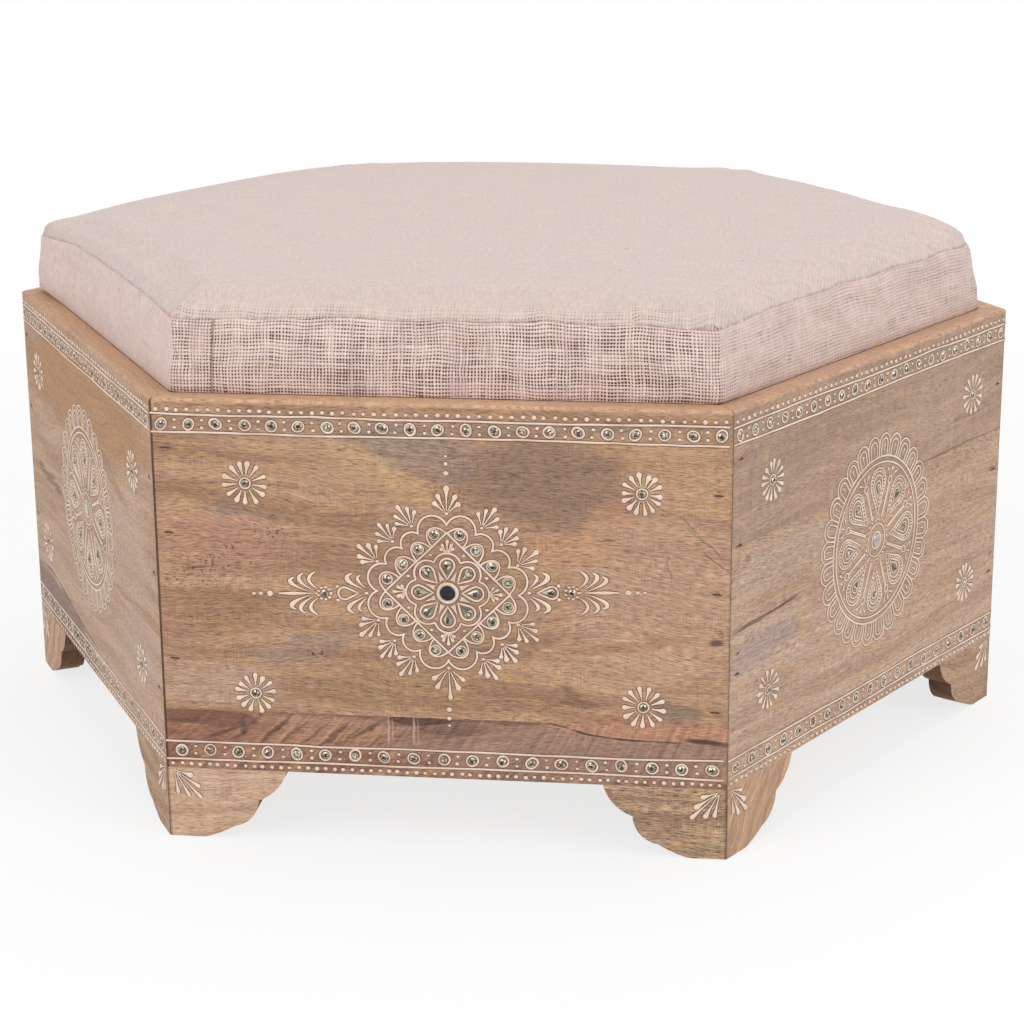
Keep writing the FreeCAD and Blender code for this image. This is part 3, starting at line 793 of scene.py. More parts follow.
    def make(self, name, side):
        """All strokes as one piece on a side."""
        made = piece(name, on_side(side, self.points), self.faces, cone_paint, "case")
        crest = made.data.attributes.new("crest", "FLOAT", "POINT")
        crest.data.foreach_set("value", np.array(self.crests, np.float32))
        return made


def paint_finish():
    """Matt cream paint with warmer thin places, small lumps, and painted shadow at the foot of each bead.
    """
    material, place = new_finish("cone_paint")
    across, deep, up = place.millimetres()
    lumps = ((across + deep) / 2.6).noise(up / 2.6, 1.0, 3.0)
    thin = ((across + deep) / 26).noise(up / 26, 5.0, 3.0)
    colour = thin.step(0.42, 0.72).blend(tone(*PAINT), tone(*PAINT_SHADE))
    crest = place.add("Attribute", {"attribute_name": "crest"}, {}, "Fac")
    # Painted shadow where the bead meets the wood, darkest on the skirt.
    colour = crest.step(0.02, 0.35).blend(tone(*PAINT_SHADOW_EDGE), colour)
    surface(colour, 0.5 + 0.2 * (lumps - 0.5), lumps, 0.12)
    return material


cone_paint = paint_finish()
round_places = solids_of("round_stones")
tear_places = solids_of("teardrop_stones")
mirror_places = solids_of("centre_mirrors")
FOOT_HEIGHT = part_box("front_lower_board")[0].z / MM
RIM_BAND = {"height": 307.4, "lines": (313.8, 301.0), "ring_gap": 0.85, "dots_at": 317.3, "dot_pitch": 7.24}
FOOT_BAND = {"height": 67.0, "lines": (73.6, 60.4), "ring_gap": 1.1, "dots_at": 56.3, "dot_pitch": 6.5}
BAND_REACH = 3
PAIR_RISE = 2.7
PAIR_DOT = 1.15
ROW_DOT = 1.45


def straight(paint, height, waver):
    """One line of a band, from corner to corner."""
    along = np.arange(-HALF_SIDE + 0.8, HALF_SIDE - 0.7, 4.0)
    level = height + waver * paint.wander(len(along), 14) + 0.25 * paint.wander(len(along), 4)
    paint.stroke(np.column_stack((along, level)), LINE, shake=0.0)


def band(side, seed, height, lines, ring_gap, dots_at, dot_pitch):
    """Band along one edge of a side: two lines, ringed stones, pairs of dots and a row of dots."""
    paint = Piping(seed)
    for line_height in lines:
        straight(paint, line_height, 0.7)
    stones = sorted(place for place in round_places[side] if abs(place[1] - height) < BAND_REACH)
    for along, level, wide, _ in stones:
        radius = wide / 2 + ring_gap
        lean = paint.chance.uniform(0, 360)
        oval = paint.chance.uniform(0.0, 0.14)
        hub = around((along, level), paint.chance.uniform(0.1, 0.9), lean)
        path = []
        for turn in range(0, 360, 18):
            swelling = 1 + oval * math.cos(math.radians(2 * (turn - lean)))
            path.append(around(hub, radius * swelling, turn))
        paint.stroke(path, 0.7 + 0.15 * paint.wander(len(path), 5), closed=True)
    pitch = stones[1][0] - stones[0][0]
    for along in [stones[0][0] - pitch / 2] + [stone[0] + pitch / 2 for stone in stones]:
        if abs(along) < HALF_SIDE - 3:
            for up in (-PAIR_RISE, PAIR_RISE):
                paint.dot((along + paint.chance.uniform(-0.8, 0.8), height + up), PAIR_DOT)
    count = int((2 * HALF_SIDE - 8) / dot_pitch)
    for k in range(count + 1):
        along = (k - count / 2) * dot_pitch + paint.chance.uniform(-0.6, 0.6)
        paint.dot((along, dots_at + paint.chance.uniform(-0.4, 0.4)), ROW_DOT)
    return paint


FLOWERS_FROM = 100
BAND_ROOM = 30
FLOWER_NECK = 6.2
FLOWER_REACH = (14.2, 16.2)


def flowers(side, seed):
    """Four small flowers: a ring round each stone and a circle of drops."""
    paint = Piping(seed)
    for along, height, wide, _ in round_places[side]:
        lone = math.dist((along, height), mirror_places[side][0][:2]) > FLOWERS_FROM
        if lone and FOOT_HEIGHT + BAND_ROOM < height < RIM_HEIGHT - BAND_ROOM:
            centre = (along, height)
            paint.stroke(ring(centre, wide / 2 + 0.9, 20), 0.6, closed=True)
            count = int(paint.chance.integers(13, 15))
            spin = paint.chance.uniform(0, 25)
            reach = paint.chance.uniform(*FLOWER_REACH)
            for k in range(count):
                turn = spin + 360 * k / count + paint.chance.uniform(-4, 4)
                length = reach + paint.chance.uniform(-0.8, 0.8)
                head = paint.chance.uniform(1.6, 2.1)
                petal = [around(centre, FLOWER_NECK, turn), around(centre, length, turn)]
                paint.drop(petal, head, 0.45, 1.9)
    return paint


EDGE_FANS = (((24.3, 47.6), (34.0, 60.8)), ((37.8, 36.2), (47.5, 47.6)), ((48.9, 21.5), (61.6, 32.3)))
UPRIGHT_FANS = ((90, 57.2, 19.3), (270, 55.1, 22.8))
SCALLOP_STOPS = ((-34.8, 34.8), (-16, 44), (0, 44), (16, 44), (34.8, 34.8))
SCALLOP_CRESTS = ((-28.2, 48.8), (-8, 49.9), (8, 49.9), (28.2, 48.8))
TRAIL = ((86.0, 2.0), (92.6, 1.5), (98.0, 1.05))
DIAMOND = 43.5
ARCH_HALF = 7.0
ARCH_RISE = 10.4
BORDER_REACH = 60
ARM_STONES = (75, 95)
PETAL = (10.0, 20.0, 5.1, 0.75)
LOBE_HUB = 19.6
LOBE = 9.4
INNER_FAN = 28.8


def diamond_medallion(side, seed):
    """Eight-petalled flower in a diamond, in a scalloped border of stones, with fans and two long arms."""
    paint = Piping(seed)
    centre = np.array(mirror_places[side][0][:2])
    paint.stroke(ring(centre, 6.7), 1.3, closed=True)
    for k in range(8):
        paint.tear(centre, 45 * k, *PETAL)
        for lean in (17, 28):
            start = around(centre, 16.5, 45 * k + 22.5)
            paint.drop([start, around(centre, 9.6, 45 * k + lean)], 0.9, 0.3)
    lobes = []
    for k in range(8):
        hub = around(centre, LOBE_HUB, 45 * k)
        lobes += [around(hub, LOBE, 45 * k + lean) for lean in np.linspace(-74, 74, 11)]
    paint.stroke(lobes, LINE, closed=True, shake=0.2)
    corners = [around(centre, DIAMOND, 90 * k) for k in range(4)]
    for start, end in zip(corners, corners[1:] + corners[:1]):
        paint.stroke(np.linspace(start, end, 16), LINE)
    for k in range(4):
        paint.fan(around(centre, INNER_FAN, 90 * k), 90 * k, 9.8, 1.5, INNER_SPREAD)
        for lean in (-23, 23):
            paint.dot(around(centre, 29.6, 90 * k + lean), 1.15)
    for along, height, wide, _ in round_places[side]:
        place = np.array((along, height)) - centre
        if np.hypot(*place) < BORDER_REACH:
            out = 45 + 90 * (math.degrees(math.atan2(place[1], place[0])) // 90)
            away = around((0.0, 0.0), 1.0, out)
            across = around((0.0, 0.0), 1.0, out + 90)
            foot = centre + place - (place @ away - DIAMOND / math.sqrt(2)) * away
            foot = foot + paint.chance.uniform(-0.6, 0.6) * across
            half = ARCH_HALF * paint.chance.uniform(0.92, 1.05)
            rise = ARCH_RISE * paint.chance.uniform(0.94, 1.05)
            sweep = np.radians(np.linspace(-86, 86, 17))
            arch = [foot + half * math.sin(t) * across + rise * math.cos(t) * away for t in sweep]
            paint.stroke(arch, THIN_LINE)
            paint.stroke(ring((along, height), wide / 2 + 0.45, 16), 0.5, closed=True)
    for k in range(4):
        stops = [beside(centre, 45 + 90 * k, out, slide) for slide, out in SCALLOP_STOPS]
        crests = [beside(centre, 45 + 90 * k, out, slide) for slide, out in SCALLOP_CRESTS]
        for start, crest, end in zip(stops[:-1], crests, stops[1:]):
            paint.stroke(bow(start, crest, end, 13), LINE, shake=0.15)
        for base, tip in EDGE_FANS:
            flip = np.array((1 if k in (0, 3) else -1, 1 if k in (0, 1) else -1))
            reach = (np.array(tip) - base) * flip
            start = centre + np.array(base) * flip
            turn = math.degrees(math.atan2(reach[1], reach[0]))
            paint.fan(start, turn, np.hypot(*reach) + 1.5, 1.75)
            paint.dot(start, 1.2)
    for turn, base, length in UPRIGHT_FANS:
        start = around(centre, base, turn)
        paint.fan(start, turn, length + 1, 2.0, UPRIGHT_SPREAD)
        paint.dot(start, 1.2)
        for out, radius in TRAIL:
            paint.dot(around(centre, out, turn), radius)
    for along, height, _, _ in round_places[side]:
        place = np.array((along, height)) - centre
        if ARM_STONES[0] < np.hypot(*place) < ARM_STONES[1]:
            arm(paint, centre, math.degrees(math.atan2(place[1], place[0])), np.hypot(*place))
    return paint


ARM_TEAR = (62.4, 72.4, 4.4, 0.75)
ARM_TRAIL = ((125.2, 2.3), (131.6, 1.6), (136.6, 1.15))
ARM_LEAVES = (
    ((59.0, 3.0), (76.0, 10.6), (67.0, 14.2), 1.3),
    ((57.5, 4.0), (65.6, 10.8), (61.2, 12.8), 0.9),
    ((91.5, 3.6), (101.8, 10.1), (92.8, 15.4), 1.0),
    ((95.5, 2.8), (108.9, 10.5), (101.5, 14.2), 1.15),
    ((98.3, 1.6), (115.3, 8.2), (108.3, 11.3), 1.3),
)


def arm(paint, centre, turn, stone_at):
    """Arm of a diamond medallion: leaves, a teardrop, a ringed stone, more leaves and a trail of dots."""
    def at(out, across):
        return beside(centre, turn, out, across)

    paint.dot(at(56.8, 0), 1.25)
    paint.tear(centre, turn, *ARM_TEAR)
    for hand in (-1, 1):
        for start, pull, tip, half_width in ARM_LEAVES:
            places = (at(out, across * hand) for out, across in (start, pull, tip))
            paint.leaf(bend(*places, 15), half_width)
        paint.dot(at(77.3, 5.0 * hand), 1.3)
    for k in range(9):
        paint.dot(around(at(stone_at, 0), 4.5, 40 * k), 1.05)
    paint.dot(at(92.2, 0), 0.9)
    paint.leaf(np.linspace(at(95.0, 0), at(118.5, 0), 13), 1.0)
    for out, radius in ARM_TRAIL:
        paint.dot(at(out, 0), radius)


LOOPS = 28
LOOP_TIPS = ((8.1, 80.8), (4.6, 77.0))
WHEEL_TEARS = ((20.0, 44.4, 11.0, THIN_LINE), (26.5, 43.0, 6.8, THIN_LINE), (32.5, 41.6, 4.0, 0.6))
WHEEL_DOTS = 22
CIRCLES = (59.2, 63.6)


def round_medallion(side, seed):
    """Wheel of eight double petals with dotted edges, two circles, and a border of double loops."""
    paint = Piping(seed)
    centre = np.array(mirror_places[side][0][:2])
    paint.stroke(ring(centre, 6.4), 0.95, closed=True)
    paint.stroke(ring(centre, 12.6, 36), THIN_LINE, closed=True)
    for k in range(WHEEL_DOTS):
        paint.dot(around(centre, 15.6, 360 * k / WHEEL_DOTS), 0.95)
    for k in range(8):
        turn = 45 * k
        for tear in WHEEL_TEARS:
            paint.tear(centre, turn, *tear)
        for lean in np.linspace(-116, 116, 15):
            paint.dot(around(around(centre, 44.0, turn), 9.0, turn + lean), 0.95)
        for out in (26, 29, 32, 35, 38):
            for hand in (-1, 1):
                spread = hand * (1.5 + 0.46 * (out - 26))
                paint.dot(beside(centre, turn, out, spread), 0.85)
        between = turn + 22.5
        for hand in (-1, 1):
            start = around(centre, 18.0, between + 1.8 * hand)
            paint.stroke(np.linspace(start, around(centre, 43.0, between + 1.1 * hand), 7), 0.6)
            start = around(centre, 49.5, between + 1.5 * hand)
            paint.drop([start, around(centre, 55.0, between + 7.5 * hand)], 1.1)
        paint.stroke(ring(around(centre, 46.2, between), 2.7, 14), 0.6, closed=True)
        paint.drop([around(centre, 50.0, between), around(centre, 56.2, between)], 1.2)
    for radius in CIRCLES:
        paint.stroke(ring(centre, radius, 96), LINE, closed=True)
    for k in range(LOOPS):
        turn = 360 * (k + 0.5) / LOOPS
        for wide, tip in LOOP_TIPS:
            hub = around(centre, tip - wide, turn)
            arch = [around(hub, wide, turn + lean) for lean in np.linspace(-92, 92, 11)]
            feet = [around(centre, 64.5, turn + lean * math.degrees(wide / 73)) for lean in (-1, 1)]
            paint.stroke([feet[0], *arch, feet[1]], THIN_LINE)
        paint.drop([around(centre, 67.5, turn), around(centre, 73.4, turn)], 0.9, 0.4)
    return paint


BRACKET_HEADS = ((18.4, 46.4), (23.6, 38.2), (25.0, 30.0), (15.5, 30.0), (8.2, 32.0))
BRACKET_SOURCE = (5.0, 51.0)


def bracket_fans(seed):
    """Fans of five drops on both brackets of a side."""
    paint = Piping(seed)
    for hand in (-1, 1):
        source = np.array((hand * (HALF_SIDE - BRACKET_SOURCE[0]), BRACKET_SOURCE[1]))
        for along, height in BRACKET_HEADS:
            tip = np.array((hand * (HALF_SIDE - along), height)) + paint.chance.uniform(-0.8, 0.8, 2)
            start = source + 0.12 * (tip - source)
            paint.drop([start, tip], paint.chance.uniform(1.6, 2.2), 0.35)
    return paint


for seed, side in enumerate(SIDES):
    band(side, 10 + seed, **RIM_BAND).make(f"{side}_rim_band_paint", side)
    band(side, 20 + seed, **FOOT_BAND).make(f"{side}_foot_band_paint", side)
    flowers(side, 30 + seed).make(f"{side}_flower_paint", side)
    bracket_fans(40 + seed).make(f"{side}_bracket_paint", side)
    reaches = [math.dist(place[:2], mirror_places[side][0][:2]) for place in round_places[side]]
    arms = any(ARM_STONES[0] < reach < ARM_STONES[1] for reach in reaches)
    medallion = diamond_medallion if arms else round_medallion
    medallion(side, 50 + seed).make(f"{side}_medallion_paint", side)


# Set stones
# Round and teardrop glass stones with foil behind, faceted on the front and pressed into the wet paint.
# Each facet's colour is a painted reflection of another part of the room, so dark and bright ones lie side
# by side.
STONE_ROWS = ((1.0, -0.05), (0.98, 0.55), (0.64, 1.3), (0.34, 1.7))
STONE_DARK_REFLECTION = (38, 27, 16)
STONE_BRIGHT_REFLECTION = (236, 222, 198)
STONE_REFLECTION_TONES = {
    "table": (0.02, 0.06, 0.12, 0.8),
    "girdle": (0.4, 0.6),
    "crown": (0.14, 0.24, 0.36, 0.5, 0.66),
    "star": (0.0, 0.03, 0.08, 0.16, 0.9),
}
TEAR_SIZES = ((30, 10.4, 6.4), (60, 8.4, 5.2), (math.inf, 11.0, 6.2))


def stone_finish():
    """Silvered glass whose colour is painted reflection: each facet has its own dark or bright tone."""
    material, place = new_finish("silvered_glass")
    facet = place.add("Attribute", {"attribute_name": "facet"}, {}, "Fac")
    across, deep, up = place.millimetres()
    cloud = ((across + deep) / 0.9).noise(up / 0.9, 2.0, 2.0)
    colour = (facet + 0.4 * (cloud - 0.5)).blend(tone(*STONE_DARK_REFLECTION), tone(*STONE_BRIGHT_REFLECTION))
    surface(colour, 0.14 + 0.2 * cloud, Metallic=0.8, Coat_Weight=0.3, Coat_Roughness=0.05)
    return material


def cut_stone(outline, middle, tilt):
    """Points of a stone over an outline (along, height), and its faces, each with the kind of its facet."""
    outline = np.asarray(outline)
    middle = np.asarray(middle)
    rows = []
    for share, rise in STONE_ROWS:
        flat = middle + share * (outline - middle)
        rows.append(np.column_stack((flat, rise + share * 0.12 * ((flat - middle) @ tilt))))
    rows[2][:, :2] = (rows[2][:, :2] + np.roll(rows[2][:, :2], -1, axis=0)) / 2
    count = len(outline)
    faces = [("table", tuple(range(3 * count, 4 * count)))]
    for k in range(count):
        after = (k + 1) % count
        faces.append(("girdle", (k, after, count + after, count + k)))
        faces.append(("crown", (count + k, count + after, 2 * count + k)))
        faces.append(("crown", (count + after, 2 * count + after, 2 * count + k)))
        faces.append(("star", (2 * count + k, 2 * count + after, 3 * count + after)))
        faces.append(("star", (2 * count + k, 3 * count + after, 3 * count + k)))
    return np.vstack(rows), faces


def stones(name, node, places, shape):
    """All stones of one shape in one piece, with a painted reflection tone for each facet."""
    chance = np.random.default_rng(len(name))
    points = []
    faces = []
    tones = []
    for side in SIDES:
        for place in places[side]:
            outline, middle = shape(side, place, chance)
            cut, facets = cut_stone(outline, middle, chance.uniform(-1, 1, 2))
            for kind, facet in facets:
                faces.append(tuple(len(points) + k for k in facet))
                # Each facet takes a painted reflection tone, from dark to a bright glint.
                tones.append(chance.choice(STONE_REFLECTION_TONES[kind]))
            points += on_side(side, cut).tolist()
    made = piece(name, points, faces, silvered_glass, "case", smooth=False)
    facet = made.data.attributes.new("facet", "FLOAT", "FACE")
    facet.data.foreach_set("value", np.array(tones, np.float32))
    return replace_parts(made, node)


def round_outline(side, place, chance):
    """Eight-sided stone at a random turn."""
    along, height, wide, _ = place
    spin = chance.uniform(0, 45)
    return [around((along, height), wide / 2, spin + 45 * k) for k in range(8)], (along, height)


def tear_outline(side, place, chance):
    """Teardrop with its point towards the middle of the medallion."""
    along, height, _, _ = place
    centre = np.array(mirror_places[side][0][:2])
    away = np.array((along, height)) - centre
    turn = math.degrees(math.atan2(away[1], away[0]))
    length, wide = next(size for reach, *size in TEAR_SIZES if np.hypot(*away) < reach)
    head = around((along, height), (length - wide) / 2, turn)
    rounding = [around(head, wide / 2, turn + lean) for lean in (-116, -72, -24, 24, 72, 116)]
    point = around((along, height), -length / 2, turn)
    return [*rounding, point], head


silvered_glass = stone_finish()
stones("round_cut_stones", "round_stones", round_places, round_outline)
stones("teardrop_cut_stones", "teardrop_stones", tear_places, tear_outline)


# Middle mirrors
# A thin round mirror in the middle of each medallion, with a ground edge.
# The ones in the diamonds are dark, a painted reflection of the room, the others plain.
MIRROR_ROWS = ((1.0, -0.05), (1.0, 0.75), (0.93, 1.1), (0.9, 1.1))
MIRROR_POINTS = 32
# Dark tone of the diamonds' mirrors: a painted reflection.
MIRROR_DARK_REFLECTION = (46, 48, 52)
PLAIN_MIRROR = (188, 180, 168)


def mirror_finish(name, colour_of):
    """Old mirror, slightly clouded."""
    material, place = new_finish(name)
    across, deep, up = place.millimetres()
    cloud = ((across + deep) / 3).noise(up / 3, 4.0, 3.0)
    colour = cloud.step(0.3, 0.8).blend(tone(*colour_of), tone(*(c * 0.72 + 26 for c in colour_of)))
    surface(colour, 0.08 + 0.2 * cloud, Metallic=0.85)
    return material


def mirrors(name, material, wanted):
    """Mirrors of the sides that are wanted, as one piece."""
    points = []
    faces = []
    for side in wanted:
        along, height, wide, _ = mirror_places[side][0]
        first = len(points)
        for share, rise in MIRROR_ROWS:
            flat = ring((along, height), share * wide / 2, MIRROR_POINTS)
            points += on_side(side, [(*place, rise) for place in flat]).tolist()
        faces += strip(first, MIRROR_POINTS, len(MIRROR_ROWS))
        faces.append(tuple(range(len(points) - MIRROR_POINTS, len(points))))
    made = piece(name, points, faces, material, "case", smooth=False)
    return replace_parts(made, "centre_mirrors")


diamond_sides = [side for side in SIDES if len(tear_places[side]) > 8]
round_sides = [side for side in SIDES if side not in diamond_sides]
mirrors("diamond_mirrors", mirror_finish("dark_reflection_mirror", MIRROR_DARK_REFLECTION), diamond_sides)
mirrors("round_mirrors", mirror_finish("plain_mirror", PLAIN_MIRROR), round_sides)


# Cushion cover
# Boxed cover of open handloom cotton in pale pink: a hexagonal top panel sewn to a boxing strip, which is
# drawn down over the foam, turned under the seat board and stapled. The sides pull in and the seam wavers.
SEAT_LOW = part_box("cushion_cover")[0].z / MM
FLANGE_APOTHEM = 284.6
CELLS = 66
SEAM_HEIGHT = 377.0
TOP_ROLL = 11.0
CROWN = 2.5
SIM_FRAMES = 20
SIM_PRESSURE = 4.0
WALL_ROWS = (
    (FLANGE_APOTHEM, SEAT_LOW + 0.3, 0.0),
    (298.0, SEAT_LOW, 0.0), (312.0, SEAT_LOW, 0.0), (320.5, SEAT_LOW + 0.2, 0.5),
    (324.0, SEAT_LOW + 1.8, 0.8), (324.8, SEAT_LOW + 6.0, 1.0), (324.8, SEAT_LOW + 15.0, 1.0),
    (324.8, 318.0, 1.0), (324.9, 324.4, 0.6), (326.7, 325.06, 0.2), (328.3, 325.08, 0.2),
    (328.6, 325.6, 0.2), (328.6, 330.0, 0.3), (328.5, 335.0, 0.8), (328.2, 341.0, 1.4),
    (327.5, 347.0, 2.1), (326.8, 353.0, 2.8), (326.2, 359.0, 3.4), (325.7, 364.5, 3.8),
    (325.5, 369.0, 4.2), (325.3, 372.3, 4.4), (325.0, 374.8, 4.5),
)
HELD_ROWS = 14
SEAM_APOTHEM = 324.8
SEAM_BOW = 4.5
SIDE_BOW = (0.2, 0.3, 0.0, 1.0, 1.0, 1.0)
SIDE_RISE = (2.5, 0.0, 2.5, 0.0, 0.0, 0.0)
SEAM_WAVER = (0.5, 0.2, 0.2, 0.5, 1.0, 1.0)
EDGE_CAP = (0.6, 0.6, 0.6, 4.0, 4.0, 4.0)
CORNER_LOW = 11.0
CORNER_SEAM = (48.0, 42.0, 40.0, 10.0, 9.0, 9.0)
CORNER_SAG = (1.0, 4.5, 3.5, 5.0, 1.0, 1.5)
SAG_REACH = (55.0, 110.0, 70.0, 55.0, 55.0, 55.0)
CORNER_REACH = 1.1547
CORNER_PUSH = (-0.5, 0.0, 0.0, 6.5, 0.5, 2.0)
PUSH_ABOVE = 325.0
PUSH_RISE = 2.5
PUSH_FROM = 375.0
PUSH_REACH = 50.0
EDGE_STRIP = 24.0
INNER_RINGS = 0.86
WAVER_REACH = 9.0
RIGHT_LIFT = 3.0
RIGHT_LIFT_AT = (326.0, 45.0)
RIGHT_LIFT_REACH = 45.0
SOFT_FROM = 326.0
WALL_BULGE = 0.9
EDGE_CAP_REACH = 45.0
BOXING_SEAM_AT = -160.0
FRONT_FROM = -250.0
SIDE_OPEN = np.array((0.5, 0.6, 0.5, 0.2, 1.0, 0.6))
OPEN_REACH = np.array((13.0, 13.0, 13.0, 13.0, 13.0, 28.0))
TOP_CUT_FROM = 4000.0
TOP_CAP = 4.0
WALL_CAP = 2.5
SEAM_PULL = 0.7
WARP_PITCH = 2.25
WEFT_PITCH = 2.45
# The top and the boxing are one cloth: the boxing's tone is lighter and pinker than the top's, as painted
# light and shade on the sides.
TOP_YARN = (205, 187, 180)
SIDE_YARN_PAINTED_LIGHT = (237, 212, 204)
MAUVE_YARN = (212, 181, 179)
STRAW_YARN = (224, 199, 178)
# Dark brown of the painted shade in the holes and the top seam, also of the dark specks on the top and the
# line at the boxing's seam.
SHADE_AND_SPECK_BROWN = (90, 34, 11)
TOP_SPECKS = ((111, -136, 1.6, 1.2), (198, -171, 1.2, 1.0), (112, -215, 1.2, 0.9))


def hexagon(corner, share, apothem, corner_from, corner_to, drawn_in):
    """Points of a rounded hexagon, at shares along the side that follows a corner (0 to 5 from +X)."""
    length = 2 * apothem * math.tan(math.radians(30))
    lead = corner_from * math.tan(math.radians(30))
    tail = corner_to * math.tan(math.radians(30))
    arc_from = corner_from * math.pi / 6
    arc_to = corner_to * math.pi / 6
    run = length - lead - tail
    reach = share * (arc_from + run + arc_to)
    early = math.pi / 6 - np.minimum(reach, arc_from) / np.maximum(corner_from, 1e-6)
    late = np.maximum(reach - arc_from - run, 0) / np.maximum(corner_to, 1e-6)
    straight_on = np.clip(reach - arc_from, 0, run)
    along = lead - corner_from * np.sin(early) + straight_on + corner_to * np.sin(late)
    inward = corner_from * (1 - np.cos(early)) + corner_to * (1 - np.cos(late))
    middle = along / np.maximum(length, 1e-6) - 0.5
    inward = inward + drawn_in * (1 - 4 * middle ** 2)
    normal = np.radians(60 * corner + 30)
    out = apothem - inward
    sideways = along - length / 2
    x = out * np.cos(normal) - sideways * np.sin(normal)
    y = out * np.sin(normal) + sideways * np.cos(normal)
    return x, y


def cover_grid():
    """Corner, share along the side and ring of each point of the top panel, its faces and its edge.

    The panel is three lozenges of square cells that meet in the middle.
    """
    index = {}
    corner = [0]
    share = [0.0]
    level = [0]
    for lozenge in range(3):
        for a in range(1, CELLS + 1):
            for b in range(CELLS + 1):
                index[lozenge, a, b] = len(corner)
                edge = max(a, b)
                level.append(edge)
                corner.append(2 * lozenge + (1 if b >= a and b > 0 and a < edge else 0))
                share.append(b / edge if a == edge else (edge - a) / edge)
    faces = []

    def at(lozenge, a, b):
        if a == 0 and b == 0:
            return 0
        return index[(lozenge + 1) % 3, b, 0] if a == 0 else index[lozenge, a, b]

    for lozenge in range(3):
        for a in range(CELLS):
            for b in range(CELLS):
                faces.append(tuple(at(lozenge, a + i, b + j) for i, j in ((0, 0), (1, 0), (1, 1), (0, 1))))
    rim = []
    for lozenge in range(3):
        rim += [at(lozenge, CELLS, k) for k in range(CELLS)]
        rim += [at(lozenge, CELLS - k, CELLS) for k in range(CELLS)]
    return np.array(corner), np.array(share), np.array(level), faces, rim


def slow_waves(count, seed, waves):
    """Closed row of slow ups and downs from about -1 to 1."""
    chance = np.random.default_rng(seed)
    turn = np.arange(count) * 2 * math.pi / count
    rows = [chance.normal() * np.sin(k * turn + chance.uniform(0, 6.3)) / k ** 0.5 for k in waves]
    return np.sum(rows, axis=0) / 1.6


def cover_form():
    """Points and faces of the cover before it is filled: top panel, then rows of the boxing downwards."""
    corner, share, level, top_faces, rim = cover_grid()
    around_count = 6 * CELLS
    waver = slow_waves(around_count, 5, range(9, 40))
    pucker = slow_waves(around_count, 6, range(30, 90))
    place = level / CELLS
    inner = SEAM_APOTHEM - EDGE_STRIP
    near_edge = inner + EDGE_STRIP * (place - INNER_RINGS) / (1 - INNER_RINGS)
    ring_apothem = np.where(place < INNER_RINGS, inner * place / INNER_RINGS, near_edge)
    in_from_seam = SEAM_APOTHEM - ring_apothem
    rounding = place ** 3
    corners = np.array(CORNER_SEAM)
    bows = np.array(SIDE_BOW)
    softness = (corners[corner] * rounding, corners[(corner + 1) % 6] * rounding)
    x, y = hexagon(corner, share, ring_apothem, *softness, SEAM_BOW * bows[corner] * rounding)
    roll = TOP_ROLL * np.sqrt(1 - (1 - np.minimum(in_from_seam / (1.4 * TOP_ROLL), 1)) ** 2)
    z = SEAM_HEIGHT + roll + CROWN * (1 - place ** 2)
    for k, (sag, reach) in enumerate(zip(CORNER_SAG, SAG_REACH)):
        tip = around((0.0, 0.0), 1.0, 60 * k) * SEAM_APOTHEM * CORNER_REACH
        z -= sag * np.exp(-((x - tip[0]) ** 2 + (y - tip[1]) ** 2) / reach ** 2)
    step = (np.round(share * CELLS).astype(int) + corner * CELLS) % around_count
    near_seam = np.exp(-in_from_seam / WAVER_REACH)
    off_corner = 1 - (2 * share - 1) ** 8
    z += (waver + 0.5 * pucker)[step] * near_seam * off_corner * np.array(SEAM_WAVER)[corner]
    z += np.array(SIDE_RISE)[corner] * (1 - (2 * share - 1) ** 2) * place ** 6
    from_lift = (x - RIGHT_LIFT_AT[0]) ** 2 + (y - RIGHT_LIFT_AT[1]) ** 2
    z += RIGHT_LIFT * np.exp(-from_lift / RIGHT_LIFT_REACH ** 2)
    points = [np.column_stack((x, y, z))]
    side = np.repeat(np.arange(6), CELLS)
    along = np.tile(np.arange(CELLS) / CELLS, 6)
    seam_lift = points[0][rim, 2] - SEAM_HEIGHT
    rows = []
    for apothem, height, drawn in reversed(WALL_ROWS):
        up = np.clip((height - SOFT_FROM) / (SEAM_HEIGHT - SOFT_FROM), 0, 1)
        soft = CORNER_LOW + (corners - CORNER_LOW) * up ** 2
        level_apothem = np.full(around_count, apothem)
        softness = (soft[side], soft[(side + 1) % 6])
        wx, wy = hexagon(side, along, level_apothem, *softness, drawn * bows[side])
        bulge = WALL_BULGE * slow_waves(around_count, 7, range(6, 26)) * math.sin(math.pi * up)
        grow = 1 + bulge / apothem
        wz = height + seam_lift * up ** 3
        rows.append(np.column_stack((wx * grow, wy * grow, wz)))
    points = np.vstack(points + rows)
    above_rim = np.clip((points[:, 2] - PUSH_ABOVE) / PUSH_RISE, 0, 1)
    for k, push in enumerate(CORNER_PUSH):
        away = around((0.0, 0.0), 1.0, 60 * k)
        near = np.exp(-((points[:, :2] - PUSH_FROM * away) ** 2).sum(axis=1) / PUSH_REACH ** 2)
        points[:, :2] += (push * near * above_rim)[:, None] * away
    top_count = len(x)
    wall_rings = [top_count + around_count * k + np.arange(around_count) for k in range(len(rows))]
    rings = [np.array(rim), *wall_rings]
    wall_faces = []
    for upper, lower in zip(rings[:-1], rings[1:]):
        for k in range(around_count):
            after = (k + 1) % around_count
            wall_faces.append((int(upper[k]), int(lower[k]), int(lower[after]), int(upper[after])))
    return points, top_faces, wall_faces, rings


